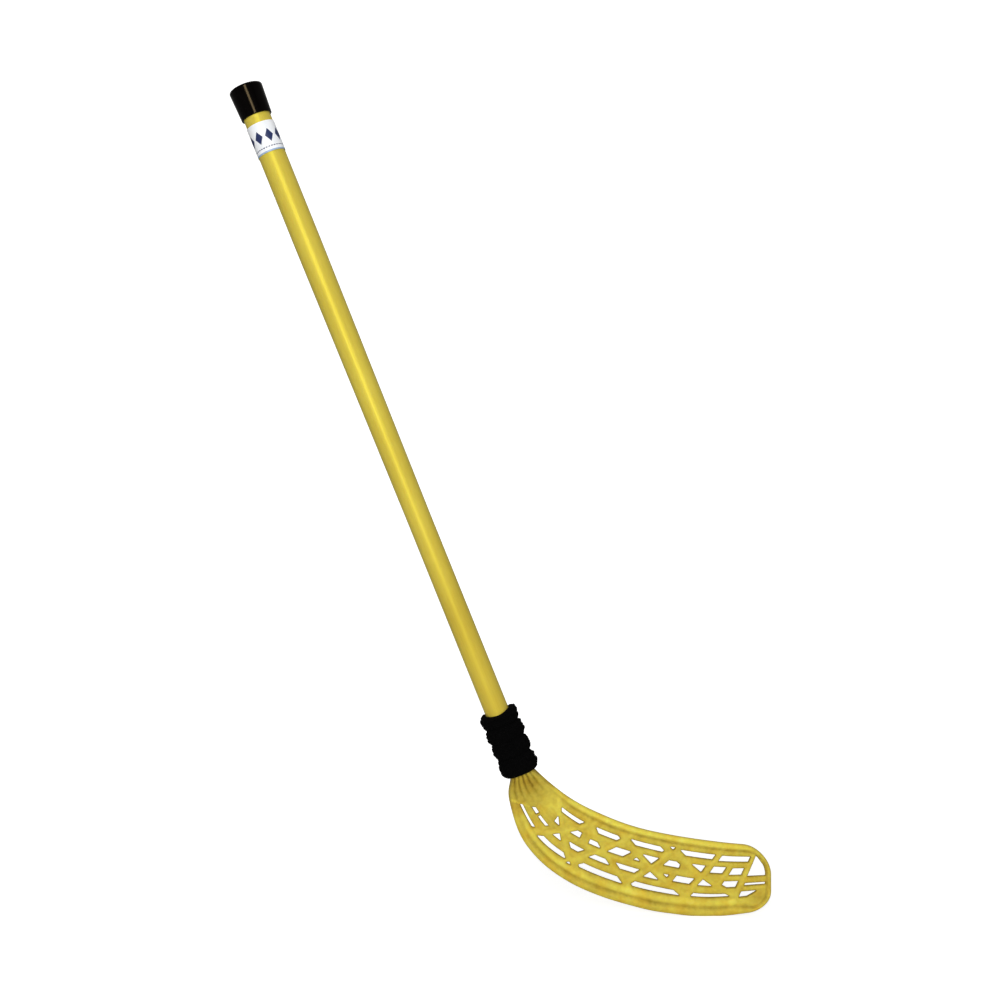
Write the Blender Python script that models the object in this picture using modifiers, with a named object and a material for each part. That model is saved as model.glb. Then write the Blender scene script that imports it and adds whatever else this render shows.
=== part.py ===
"""Children's gym hockey stick: a tapered plastic tube, a lattice blade, a foam collar and an end cap.

Metres, +Z up. The stick stands in its playing position: the lowest point of the blade's sole is the
origin, the toe points along +X, the shaft leans back towards -X, and Y is the blade's thickness.
"""
import math

import bmesh
import bpy
from mathutils import Vector

# Shaft: a round tube that is thicker in the hands
SHAFT_LEAN = math.radians(22.0)        # from the vertical, back from the blade
NECK_X = -0.2106                       # where the shaft's axis meets the collar's lower end
NECK_Z = 0.1555
SHAFT_LENGTH = 0.8048                  # collar's lower end to the butt
SHAFT_HAND_DIAMETER = 0.0300
SHAFT_LOW_DIAMETER = 0.0267
SHAFT_WALL = 0.0025
TAPER_START = 0.300                    # above the collar's lower end
TAPER_END = 0.620
ROUND_SEGMENTS = 48
HALF_FACET = math.pi / ROUND_SEGMENTS  # turns a flat, not an edge, towards the screws

# Butt cap: a flared cup of soft vinyl
CAP_LENGTH = 0.0345
CAP_MOUTH_DIAMETER = 0.0342
CAP_END_DIAMETER = 0.0374
CAP_END_THICKNESS = 0.0040
CAP_EDGE_RADIUS = 0.0018

# Paper band round the tube, under the cap
LABEL_HEIGHT = 0.0338
LABEL_BELOW_CAP = 0.0100
LABEL_THICKNESS = 0.0004

# Collar: a ribbed foam sleeve over the joint of tube and blade
COLLAR_LENGTH = 0.0742
COLLAR_DIAMETER = 0.0446
COLLAR_GROOVE_DIAMETER = 0.0375
COLLAR_LOBES = 4
LOBE_POINTS = 7
LOBE_FULLNESS = 0.7                    # below 1 the lobes are fuller than a sine
COLLAR_MOUTH_DIAMETER = 0.0292
COLLAR_DISH_DEPTH = 0.0085
COLLAR_SEGMENTS = 40

# Blade root: a round shoulder that the tube stands on, and a spigot inside the tube
SHOULDER_BOTTOM = 0.0045               # above the collar's lower end
SHOULDER_TOP = 0.0240
SPIGOT_LENGTH = 0.0480
SPIGOT_CHAMFER = 0.0020
ROOT_PLUG_DEPTH = 0.0040               # how far the fluted neck runs into the shoulder
PLUG_TAPER = 0.08

# Two screws fix the tube to the spigot, one from each side, under the collar
SCREW_SHARES = (0.42, 0.69)            # of the spigot's length, front and back
SCREW_STATIONS = tuple(SHOULDER_TOP + SPIGOT_LENGTH * share for share in SCREW_SHARES)
SCREW_SHANK_DIAMETER = 0.0035
SCREW_SHANK_LENGTH = 0.0085
SCREW_HEAD_DIAMETER = 0.0070
SCREW_HEAD_HEIGHT = 0.0018
SCREW_CROWN = ((0.0, 1.0), (0.6, 0.92), (0.9, 0.6), (1.0, 0.3))  # shares of the head's radius and height
SCREW_POCKET_MARGIN = 0.0020           # foam squeezed back round the heads
SCREW_SEGMENTS = 16

# Blade outline in the X-Z plane, past the neck: upper edge and sole, heel to toe
TOP_EDGE = ((-0.1764, 0.1404), (-0.1355, 0.1156), (-0.0729, 0.0920), (0.0024, 0.0790), (0.0610, 0.0750))
SOLE_EDGE = ((-0.2228, 0.1264), (-0.2023, 0.0812), (-0.1657, 0.0488), (-0.1053, 0.0186),
             (-0.0407, 0.0020), (0.0024, -0.0006), (0.0610, 0.0064))
SOLE_LEVEL = 0.0                       # the sole is rubbed flat at its lowest stretch

# The blade is laid out flat before it is swept to that outline: sweep along the blade, depth across it
BLADE_SWEEP = 0.320
BLADE_DEPTH = 0.078
TOE_TOP_RADIUS = 0.024
TOE_SOLE_RADIUS = 0.031
TOE_ARC_POINTS = 9
RIM_WIDTH = 0.0060
SWEEP_STEP = 0.0090

# Half thicknesses of the blade
PLATE_HALF = 0.0030
EDGE_HALF = 0.0022
RIM_HALF = 0.0044
RIDGE_HALF = 0.0042
RIB_RISE = 0.0004
WINDOW_EDGE_DROP = 0.0014

# Lattice: four rows of windows between three stringers, crossed by slanted ribs
LATTICE_TOP = 0.0105                   # below the upper edge
LATTICE_SOLE_HEEL = 0.0070             # above the sole edge, where the sweep starts
LATTICE_SOLE_TOE = 0.0172              # the same at the toe's end
ROW_BOW = 0.0037                       # how far the rows bow towards the sole near the heel
BOW_PLACE = 0.0930
BOW_REACH = 0.0860
STRINGERS = ((0.0226, 0.0226), (0.0372, 0.0368), (0.0533, 0.0500))  # below the upper edge, heel and toe
TOE_STRINGERS = (0.0398, 0.0491)       # the same past the toe rib
STRINGER_WIDTH = 0.0068
RIB_WIDTH = 0.0082
ROOT_WIDENING = (1.30, 1.95)           # factor on a stringer's width at the root: upper rows, lower rows
RIB_WIDENING = 1.25                    # the same on a rib's
WIDENING_START = 0.0300
WIDENING_END = 0.1500
TOE_LAND = 0.0010                      # twice what the toe's windows keep clear of the rim
CROWN_SHARE = 0.58                     # of a rib's width
PARALLEL = 0.02                        # sine of the angle under which two sides count as parallel
SMALLEST_CELL = 0.0040                 # inscribed radius of a cell that is still opened
SMALLEST_WINDOW = 0.0012               # inscribed radius of its window
PINHOLES = ((0.2022, 0.0115), (0.1088, 0.0660))
CROSSING_SNAP = 0.0014                 # ribs that cross this close together meet in one point
SHORT_SIDE = 0.0010                    # a cell's side shorter than this draws no side of its window
LEVEL_SLOPE = 0.25                     # sides flatter than this count as stringers

# Slanted ribs, as places along the sweep at two depths below the upper edge
RIB_DEPTHS = (0.0105, 0.0675)
TOE_RIB = (0.2990, 0.2790)
TOE_CORNER = (0.3004, 0.3451)          # the corner past this line is solid
TOE_HEEL = (0.3803, 0.2805)            # past this line the toe's lower corner is solid too
BACK_RIBS = ((0.0525, 0.1150), (0.0950, 0.1800), (0.1380, 0.2460), (0.1960, 0.3020))
FORE_RIBS = ((0.1040, 0.0590), (0.1500, 0.1040), (0.2060, 0.1630), (0.2590, 0.2260))
STRUT_RIB = (0.2800, 0.2500)
ROOT_LINE = (0.0590, 0.0240)

# Short struts that cross one row: row number, and places as for the ribs
HEEL_STRUT = (0.0575, 0.0465)
ROW_STRUTS = ((1, (0.0590, 0.0700)), (1, (0.1010, 0.1170)), (1, (0.1800, 0.1300)), (1, (0.2220, 0.2220)),
              (2, (0.2240, 0.2010)), (2, HEEL_STRUT))
NARROW_RIBS = ((ROOT_LINE, 0.0060), (HEEL_STRUT, 0.0034), (TOE_HEEL, 0.0020))

# Windows that sit unevenly in their cells: the cell's middle, then half the width of the land
# above, below, towards the heel and towards the toe
UNEVEN_WINDOWS = ((0.0788, 0.0166, 0.0045, 0.0035, 0.0025, 0.0050), (0.1748, 0.0166, 0.0026, 0.0044, 0.0036, 0.0065),
                  (0.2311, 0.0166, 0.0019, 0.0050, 0.0050, 0.0035), (0.2755, 0.0166, 0.0024, 0.0038, 0.0035, 0.0028),
                  (0.0715, 0.0299, 0.0055, 0.0030, 0.0044, 0.0020), (0.0951, 0.0298, 0.0040, 0.0045, 0.0025, 0.0055),
                  (0.1175, 0.0298, 0.0060, 0.0037, 0.0055, 0.0009), (0.1487, 0.0298, 0.0034, 0.0034, 0.0030, 0.0049),
                  (0.1818, 0.0294, 0.0027, 0.0034, 0.0025, 0.0027), (0.2043, 0.0298, 0.0027, 0.0055, 0.0066, 0.0056),
                  (0.2370, 0.0297, 0.0023, 0.0034, 0.0027, 0.0052), (0.2594, 0.0297, 0.0024, 0.0050, 0.0033, 0.0031),
                  (0.3014, 0.0251, 0.0034, 0.0046, 0.0030, 0.0041), (0.0655, 0.0449, 0.0061, 0.0059, 0.0080, 0.0088),
                  (0.0846, 0.0448, 0.0028, 0.0055, 0.0022, 0.0030), (0.1051, 0.0447, 0.0052, 0.0044, 0.0053, 0.0080),
                  (0.1364, 0.0446, 0.0052, 0.0044, 0.0013, 0.0024), (0.1603, 0.0443, 0.0050, 0.0044, 0.0041, 0.0045),
                  (0.2270, 0.0440, 0.0027, 0.0049, 0.0041, 0.0055), (0.2530, 0.0439, 0.0034, 0.0050, 0.0017, 0.0020),
                  (0.0832, 0.0607, 0.0050, 0.0046, 0.0040, 0.0038), (0.1427, 0.0595, 0.0045, 0.0038, 0.0068, 0.0028),
                  (0.2035, 0.0582, 0.0038, 0.0044, 0.0040, 0.0020), (0.2567, 0.0570, 0.0035, 0.0053, 0.0045, 0.0025))
MIDDLE_MATCH = 0.0040                  # how near a cell's middle has to be to one of these
CLOSED_ABOVE = 0.0285                  # second-row cells centred above this, near the root, stay closed
CLOSED_UP_TO = 0.1400
CLOSED_CELL = (0.2298, 0.0328)

# Fluted neck between the collar and the lattice
FLUTES = 6
FLUTE_DEPTH = 0.0012
FLUTE_POINTS = 4
FLUTE_FADE_START = 0.0113              # past the collar's lower end
FLUTE_FADE_END = 0.0340
NECK_FADE = 0.0430
NECK_STEP = 0.0048
NECK_EDGE_HALF = 0.0012

FIT_GAP = 0.0003                       # between pieces that touch
CUT_MARGIN = 0.0100


def srgb(value):
    """One sRGB channel, 0 to 255, as a linear value."""
    share = value / 255.0
    return share / 12.92 if share <= 0.04045 else ((share + 0.055) / 1.055) ** 2.4


def material(name, colour, roughness, metallic=0.0):
    """A Principled material with an sRGB colour given as three numbers up to 255."""
    made = bpy.data.materials.new(name)
    made.use_nodes = True
    shader = made.node_tree.nodes["Principled BSDF"]
    shader.inputs["Base Color"].default_value = (*(srgb(c) for c in colour), 1.0)
    shader.inputs["Roughness"].default_value = roughness
    shader.inputs["Metallic"].default_value = metallic
    return made


def new_object(name, mesh, group, finish=None):
    made = bpy.data.objects.new(name, mesh)
    group.objects.link(made)
    if finish is not None:
        mesh.materials.append(finish)
    return made


def shade_round(mesh, angle=35.0):
    mesh.shade_smooth()
    mesh.set_sharp_from_angle(angle=math.radians(angle))


def turned(name, profile, group, finish=None, segments=ROUND_SEGMENTS, closed=True):
    """Turns a profile of (radius, station) points about local Z; a closed one makes a ring."""
    mesh = bpy.data.meshes.new(name)
    points = [(radius, 0.0, station) for radius, station in profile]
    edges = [(i, i + 1) for i in range(len(points) - 1)]
    if closed:
        edges.append((len(points) - 1, 0))
    mesh.from_pydata(points, edges, [])
    made = new_object(name, mesh, group, finish)
    screw = made.modifiers.new("turn", "SCREW")
    screw.steps = segments
    screw.render_steps = segments
    screw.use_merge_vertices = True
    screw.merge_threshold = 0.00001
    screw.use_smooth_shade = True
    return made


def cut(target, cutter, operation="DIFFERENCE"):
    """Boolean between an object and a hidden one."""
    cutter.hide_render = True
    cutter.display_type = "WIRE"
    boolean = target.modifiers.new(cutter.name, "BOOLEAN")
    boolean.operation = operation
    boolean.solver = "EXACT"
    boolean.object = cutter


def radius_at(station):
    """The tube's outer radius at a station above the collar's lower end."""
    share = (station - TAPER_START) / (TAPER_END - TAPER_START)
    share = min(max(share, 0.0), 1.0)
    low = SHAFT_LOW_DIAMETER / 2
    return low + share * (SHAFT_HAND_DIAMETER / 2 - low)


def cap_inner_end():
    return SHAFT_LENGTH - CAP_END_THICKNESS


def make_shaft_tube(group, finish):
    bottom = SHOULDER_TOP + FIT_GAP
    top = cap_inner_end() - FIT_GAP
    stations = (top, TAPER_END, TAPER_START, bottom)
    outer = [(radius_at(s), s) for s in stations]
    inner = [(radius_at(s) - SHAFT_WALL, s) for s in reversed(stations)]
    tube = turned("shaft_tube", outer + inner, group, finish)
    tube.rotation_euler.z = HALF_FACET
    return tube


def make_end_cap(group, finish):
    mouth = SHAFT_LENGTH - CAP_LENGTH
    bore = SHAFT_HAND_DIAMETER / 2 + FIT_GAP
    end_radius = CAP_END_DIAMETER / 2
    edge = [(end_radius - CAP_EDGE_RADIUS * (1 - math.sin(a)), SHAFT_LENGTH - CAP_EDGE_RADIUS * (1 - math.cos(a)))
            for a in (math.pi / 8 * i for i in range(5))]
    lip = CAP_EDGE_RADIUS / 3
    mouth_radius = CAP_MOUTH_DIAMETER / 2
    profile = [(0.0, SHAFT_LENGTH)] + edge
    profile += [(mouth_radius, mouth + lip), (mouth_radius - lip, mouth), (bore, mouth)]
    profile += [(bore, cap_inner_end()), (0.0, cap_inner_end())]
    return turned("end_cap", profile, group, finish, closed=False)


def make_label_band(group, finish):
    top = SHAFT_LENGTH - CAP_LENGTH - LABEL_BELOW_CAP
    bottom = top - LABEL_HEIGHT
    inner = SHAFT_HAND_DIAMETER / 2 + FIT_GAP
    outer = inner + LABEL_THICKNESS
    return turned("label_band", [(outer, top), (outer, bottom), (inner, bottom), (inner, top)], group, finish)


def screw_pocket_radius():
    return SHAFT_LOW_DIAMETER / 2 + FIT_GAP + SCREW_HEAD_HEIGHT + FIT_GAP


def make_foam_collar(group, finish):
    """Round lobes outside; a bore with a wider stretch round the screw heads and a dished upper mouth."""
    mean = (COLLAR_DIAMETER + COLLAR_GROOVE_DIAMETER) / 4
    swing = (COLLAR_DIAMETER - COLLAR_GROOVE_DIAMETER) / 4
    bore = SHAFT_LOW_DIAMETER / 2 + FIT_GAP
    outer = []
    steps = COLLAR_LOBES * LOBE_POINTS
    for i in range(steps + 1):
        turn = 2 * math.pi * COLLAR_LOBES * i / steps
        bulge = abs(math.sin(turn / 2)) ** LOBE_FULLNESS
        radius = mean - swing + 2 * swing * bulge
        outer.append((radius, COLLAR_LENGTH * (1 - i / steps)))
    outer[0] = (COLLAR_MOUTH_DIAMETER / 2 + swing, COLLAR_LENGTH)
    outer[-1] = (bore + swing, 0.0)
    pocket_low = min(SCREW_STATIONS) - SCREW_HEAD_DIAMETER / 2 - SCREW_POCKET_MARGIN
    pocket_high = max(SCREW_STATIONS) + SCREW_HEAD_DIAMETER / 2 + SCREW_POCKET_MARGIN
    slope = screw_pocket_radius() - bore
    inner = [(bore, 0.0), (bore, pocket_low - slope), (screw_pocket_radius(), pocket_low),
             (screw_pocket_radius(), pocket_high), (bore, pocket_high + slope),
             (bore, COLLAR_LENGTH - COLLAR_DISH_DEPTH), (COLLAR_MOUTH_DIAMETER / 2, COLLAR_LENGTH)]
    return turned("foam_collar", outer + inner, group, finish, segments=COLLAR_SEGMENTS)


def screw_seat():
    """Distance of a screw head's underside from the shaft's axis."""
    return SHAFT_LOW_DIAMETER / 2 + FIT_GAP


def make_screw(name, station, side, group, finish):
    """A pan-head screw; side is -1 for the front and +1 for the back."""
    head = SCREW_HEAD_DIAMETER / 2
    shank = SCREW_SHANK_DIAMETER / 2
    tip = screw_seat() - SCREW_SHANK_LENGTH
    profile = [(head * across, screw_seat() + SCREW_HEAD_HEIGHT * up) for across, up in SCREW_CROWN]
    profile += [(head, screw_seat()), (shank, screw_seat()), (shank, tip + SCREW_SHANK_DIAMETER), (0.0, tip)]
    made = turned(name, profile, group, finish, segments=SCREW_SEGMENTS, closed=False)
    made.rotation_euler = (-side * math.pi / 2, 0.0, 0.0)
    made.location = (0.0, 0.0, station)
    return made


def make_screw_hole(name, station, group):
    """A cutter for one side's clearance hole through the tube wall and into the spigot."""
    radius = SCREW_SHANK_DIAMETER / 2 + FIT_GAP
    deep = screw_seat() - SCREW_SHANK_LENGTH - 2 * FIT_GAP
    out = screw_seat() + CUT_MARGIN
    return turned(name, [(0.0, out), (radius, out), (radius, deep), (0.0, deep)], group,
                  segments=SCREW_SEGMENTS, closed=False)


def make_spigot(group):
    """The blade's round shoulder and the plug that stands in the tube."""
    shoulder = SHAFT_LOW_DIAMETER / 2
    plug = shoulder - SHAFT_WALL - FIT_GAP
    tip = SHOULDER_TOP + SPIGOT_LENGTH
    profile = [(0.0, tip), (plug - SPIGOT_CHAMFER, tip), (plug, tip - SPIGOT_CHAMFER), (plug, SHOULDER_TOP),
               (shoulder, SHOULDER_TOP), (shoulder, SHOULDER_BOTTOM), (0.0, SHOULDER_BOTTOM)]
    spigot = turned("spigot", profile, group, closed=False)
    spigot.rotation_euler.z = HALF_FACET
    return spigot


def smoothstep(share):
    share = min(max(share, 0.0), 1.0)
    return share * share * (3 - 2 * share)


class Edge:
    """A smooth curve through a few points in X-Z, read at an even share of its length."""

    SAMPLES = 24

    def __init__(self, knots):
        ends = [2 * knots[0] - knots[1]] + list(knots) + [2 * knots[-1] - knots[-2]]
        self.points = []
        for a, b, c, d in zip(ends, ends[1:], ends[2:], ends[3:]):
            for i in range(self.SAMPLES):
                t = i / self.SAMPLES
                self.points.append(0.5 * (2 * b + (c - a) * t + (2 * a - 5 * b + 4 * c - d) * t * t
                                          + (3 * b - a - 3 * c + d) * t ** 3))
        self.points.append(knots[-1])
        self.lengths = [0.0]
        for a, b in zip(self.points, self.points[1:]):
            self.lengths.append(self.lengths[-1] + (b - a).length)

    def at(self, share):
        goal = min(max(share, 0.0), 1.0) * self.lengths[-1]
        for i in range(1, len(self.lengths)):
            if self.lengths[i] >= goal:
                span = self.lengths[i] - self.lengths[i - 1]
                return self.points[i - 1].lerp(self.points[i], (goal - self.lengths[i - 1]) / span)
        return self.points[-1].copy()


def neck_ends():
    """The neck's two silhouette points at the collar: upper-edge side and sole side."""
    centre = Vector((NECK_X, NECK_Z))
    across = Vector((math.cos(SHAFT_LEAN), math.sin(SHAFT_LEAN))) * (SHAFT_LOW_DIAMETER / 2)
    return centre + across, centre - across


def edge_distance(x, y):
    """How far a point of the flat layout lies inside the blade's outline."""
    top_x = BLADE_SWEEP - TOE_TOP_RADIUS
    sole_x = BLADE_SWEEP - TOE_SOLE_RADIUS
    if x > top_x and y < TOE_TOP_RADIUS:
        return TOE_TOP_RADIUS - math.hypot(x - top_x, y - TOE_TOP_RADIUS)
    if x > sole_x and y > BLADE_DEPTH - TOE_SOLE_RADIUS:
        return TOE_SOLE_RADIUS - math.hypot(x - sole_x, y - (BLADE_DEPTH - TOE_SOLE_RADIUS))
    return min(y, BLADE_DEPTH - y, BLADE_SWEEP - x)


def read_profile(profile, distance):
    """Linear reading of (distance, half thickness) points."""
    for (a, low), (b, high) in zip(profile, profile[1:]):
        if distance <= b:
            return low + (high - low) * max(distance - a, 0.0) / (b - a)
    return profile[-1][1]


RIM_PROFILE = ((0.0, EDGE_HALF), (RIM_WIDTH * 0.18, RIM_HALF * 0.82), (RIM_WIDTH * 0.5, RIM_HALF),
               (RIM_WIDTH * 0.82, RIM_HALF * 0.91), (RIM_WIDTH, PLATE_HALF))


def lattice_sole(x):
    """The lattice's lower edge above the sole edge: the solid band under it widens towards the toe."""
    return LATTICE_SOLE_HEEL + (LATTICE_SOLE_TOE - LATTICE_SOLE_HEEL) * x / BLADE_SWEEP


def ridge_crest(x):
    return (RIM_WIDTH + lattice_sole(x)) / 2


def plate_half(x, y):
    """Half thickness of the blade away from the neck: rim bead, sole ridge and plate."""
    inside = edge_distance(x, y)
    over_sole = BLADE_DEPTH - y
    if inside > RIM_WIDTH and over_sole < lattice_sole(x):
        ridge = ((RIM_WIDTH, PLATE_HALF), (ridge_crest(x), RIDGE_HALF), (lattice_sole(x), PLATE_HALF))
        return read_profile(ridge, over_sole)
    return read_profile(RIM_PROFILE, inside)


def neck_half(x, y):
    """Half thickness of the round, fluted neck."""
    across = 2 * y / BLADE_DEPTH - 1
    circle = math.sqrt(max(1 - across * across, 0.0)) * SHAFT_LOW_DIAMETER / 2
    fade = 1 - smoothstep((x - FLUTE_FADE_START) / (FLUTE_FADE_END - FLUTE_FADE_START))
    fade *= smoothstep((x + SHOULDER_BOTTOM) / SHOULDER_BOTTOM)
    flute = 0.5 + 0.5 * math.cos(2 * math.pi * FLUTES * y / BLADE_DEPTH)
    return max(circle - FLUTE_DEPTH * fade * flute, NECK_EDGE_HALF)


def half_thickness(x, y):
    share = smoothstep(x / NECK_FADE)
    return (1 - share) * neck_half(x, y) + share * plate_half(x, y)


def outline_points(inside):
    """The flat layout's outline, or a line that runs inside it, from the neck round the toe and back."""
    left = -ROOT_PLUG_DEPTH - SHOULDER_BOTTOM
    points = [(left, inside)]
    for radius, cy, start in ((TOE_TOP_RADIUS, TOE_TOP_RADIUS, -math.pi / 2),
                              (TOE_SOLE_RADIUS, BLADE_DEPTH - TOE_SOLE_RADIUS, 0.0)):
        for i in range(TOE_ARC_POINTS):
            angle = start + math.pi / 2 * i / (TOE_ARC_POINTS - 1)
            points.append((BLADE_SWEEP - radius + (radius - inside) * math.cos(angle),
                           cy + (radius - inside) * math.sin(angle)))
    points.append((left, BLADE_DEPTH - inside))
    return points


def split(bm, faces, a, b, snap=1e-6):
    """Cuts faces of the flat layout along the line through two of its points."""
    geom = set(faces)
    for face in faces:
        geom.update(face.edges)
        geom.update(face.verts)
    normal = Vector((b[1] - a[1], a[0] - b[0], 0.0)).normalized()
    bmesh.ops.bisect_plane(bm, geom=list(geom), dist=snap, plane_co=(a[0], a[1], 0.0), plane_no=normal)


def along(line, y):
    """Where a slanted line, given at the two rib depths, lies at depth y."""
    top, low = RIB_DEPTHS
    return line[0] + (line[1] - line[0]) * (y - top) / (low - top)


def after(line, centre):
    return centre.x > along(line, centre.y)


def split_rib(bm, line, chosen):
    """Cuts the chosen lattice cells along one slanted line."""
    faces = [f for f in bm.faces if chosen(f.calc_center_median())]
    split(bm, faces, (line[0], RIB_DEPTHS[0]), (line[1], RIB_DEPTHS[1]), CROSSING_SNAP)


def in_lattice(c):
    return LATTICE_TOP < c.y < BLADE_DEPTH - lattice_sole(c.x) and edge_distance(c.x, c.y) > RIM_WIDTH


def row_of(c):
    return sum(c.y > root + (toe_end - root) * c.x / BLADE_SWEEP for root, toe_end in STRINGERS)


def lay_out_rim(bm):
    """Strips along the outline for the rim's bead, and one face for the field inside it."""
    lines = [[bm.verts.new((x, y, 0.0)) for x, y in outline_points(inside)] for inside, _ in RIM_PROFILE]
    for outer, inner in zip(lines, lines[1:]):
        for i in range(len(outer) - 1):
            bm.faces.new((outer[i], outer[i + 1], inner[i + 1], inner[i]))
    bm.faces.new(lines[-1])


def lay_out_lattice(bm):
    """Cuts the field inside the rim along every rib's centre line."""
    lines = [(LATTICE_TOP, LATTICE_TOP)]
    for height in (lattice_sole, ridge_crest):
        lines.append((BLADE_DEPTH - height(0.0), BLADE_DEPTH - height(BLADE_SWEEP)))
    for root, toe_end in lines:
        field = [f for f in bm.faces if edge_distance(*f.calc_center_median().xy) > RIM_WIDTH]
        split(bm, field, (0.0, root), (BLADE_SWEEP, toe_end))
    split_rib(bm, TOE_RIB, in_lattice)
    split_rib(bm, ROOT_LINE, lambda c: in_lattice(c) and not after(TOE_RIB, c))

    def body(c):
        return in_lattice(c) and after(ROOT_LINE, c) and not after(TOE_RIB, c)

    def toe(c):
        return in_lattice(c) and after(TOE_RIB, c)

    for root, toe_end in STRINGERS:
        split(bm, [f for f in bm.faces if body(f.calc_center_median())], (0.0, root), (BLADE_SWEEP, toe_end))
    for y in TOE_STRINGERS:
        split(bm, [f for f in bm.faces if toe(f.calc_center_median())], (0.0, y), (1.0, y))
    split_rib(bm, TOE_CORNER, lambda c: toe(c) and c.y < TOE_STRINGERS[0])
    split_rib(bm, TOE_HEEL, lambda c: toe(c) and c.y > TOE_STRINGERS[1])

    for line in BACK_RIBS:
        split_rib(bm, line, body)
    split_rib(bm, FORE_RIBS[0], body)
    split_rib(bm, FORE_RIBS[1], body)
    split_rib(bm, FORE_RIBS[2], lambda c: body(c) and after(BACK_RIBS[1], c))
    split_rib(bm, FORE_RIBS[3], lambda c: body(c) and after(BACK_RIBS[2], c))
    split_rib(bm, STRUT_RIB, lambda c: body(c) and after(BACK_RIBS[3], c) and row_of(c) in (1, 2))
    for row, line in ROW_STRUTS:
        split_rib(bm, line, lambda c, row=row: body(c) and row_of(c) == row)


def lay_out_neck(bm):
    """Cuts the land between collar and lattice, and the rim, into strips fine enough for flutes and sweep."""
    def off_lattice(c):
        return not (in_lattice(c) and after(ROOT_LINE, c))

    count = FLUTES * FLUTE_POINTS
    for i in range(1, count):
        y = BLADE_DEPTH * i / count
        faces = [f for f in bm.faces if in_lattice(f.calc_center_median())
                 and not after(ROOT_LINE, f.calc_center_median())]
        split(bm, faces, (0.0, y), (1.0, y))
    x = 0.0
    while x < BLADE_SWEEP - RIM_WIDTH:
        faces = [f for f in bm.faces if off_lattice(f.calc_center_median())]
        split(bm, faces, (x, 0.0), (x, 1.0))
        x += NECK_STEP if x < ROOT_LINE[0] else SWEEP_STEP


def inscribed(face):
    return 2 * face.calc_area() / face.calc_perimeter()


def stays_shut(cell):
    """Small cells, the toe's two corners and the second row next to the root are solid."""
    c = cell.calc_center_median()
    if inscribed(cell) < SMALLEST_CELL:
        return all(math.hypot(c.x - x, c.y - y) > SMALLEST_CELL for x, y in PINHOLES)
    if after(TOE_RIB, c):
        return (c.y < TOE_STRINGERS[0] and after(TOE_CORNER, c)) or (c.y > TOE_STRINGERS[1] and after(TOE_HEEL, c))
    near_root = c.x < ROOT_LINE[0] or (c.y < CLOSED_ABOVE and c.x < CLOSED_UP_TO)
    closed = math.hypot(c.x - CLOSED_CELL[0], c.y - CLOSED_CELL[1]) < MIDDLE_MATCH
    return row_of(c) == 1 and (near_root or closed)


def middle_of(points):
    xs = [p.x for p in points]
    ys = [p.y for p in points]
    return Vector(((min(xs) + max(xs)) / 2, (min(ys) + max(ys)) / 2, 0.0))


def rib_half(a, b, cell_middle):
    """Half the width of the rib, stringer or rim's land that runs from a to b beside a cell."""
    middle = (a + b) / 2
    if edge_distance(middle.x, middle.y) < RIM_WIDTH + SHORT_SIDE and middle.x > TOE_RIB[0]:
        return TOE_LAND / 2
    for line, width in NARROW_RIBS:
        if max(abs(p.x - along(line, p.y)) for p in (a, b)) < CROSSING_SNAP:
            return width / 2
    level = abs(b.y - a.y) < abs(b.x - a.x) * LEVEL_SLOPE
    for x, y, above, below, heelward, toeward in UNEVEN_WINDOWS:
        if math.hypot(cell_middle.x - x, cell_middle.y - y) < MIDDLE_MATCH:
            if level:
                return above if middle.y < cell_middle.y else below
            return heelward if middle.x < cell_middle.x else toeward
    width = STRINGER_WIDTH if level else RIB_WIDTH
    near_root = 1 - smoothstep((middle.x - WIDENING_START) / (WIDENING_END - WIDENING_START))
    widening = ROOT_WIDENING[row_of(middle) > 1] if level else RIB_WIDENING
    return width / 2 * (1 + (widening - 1) * near_root)


def draw_in(points, share, limit):
    """Moves every side of a convex outline inwards; sides too short to matter are left out."""
    middle = middle_of(points)
    sides = []
    for a, b in zip(points, points[1:] + points[:1]):
        if (b - a).length > SHORT_SIDE:
            normal = Vector((a.y - b.y, b.x - a.x, 0.0)).normalized()
            sides.append((a, normal, min(rib_half(a, b, middle), limit) * share))
    for base, normal, amount in sides:
        kept = []
        for a, b in zip(points, points[1:] + points[:1]):
            over_a = (a - base).dot(normal) - amount
            over_b = (b - base).dot(normal) - amount
            if over_a >= 0:
                kept.append(a)
            if over_a * over_b < 0:
                kept.append(a.lerp(b, over_a / (over_a - over_b)))
        points = kept
        if len(points) < 3:
            return []
    return [a for a, b in zip(points, points[1:] + points[:1]) if (b - a).length > SHORT_SIDE / 2]


def add_loop(bm, points, rise, height):
    """Points of a closed outline at one height over the plate, with long sides broken up for the sweep."""
    verts = []
    for a, b in zip(points, points[1:] + points[:1]):
        pieces = math.ceil((b - a).length / SWEEP_STEP)
        verts += [bm.verts.new(a.lerp(b, i / pieces)) for i in range(pieces)]
    for vert in verts:
        vert[rise] = height
    return verts


def from_heel(loop):
    """The same closed loop, started at its point nearest the heel."""
    first = min(range(len(loop)), key=lambda k: (loop[k].co.x, loop[k].co.y))
    return loop[first:] + loop[:first]


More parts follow.
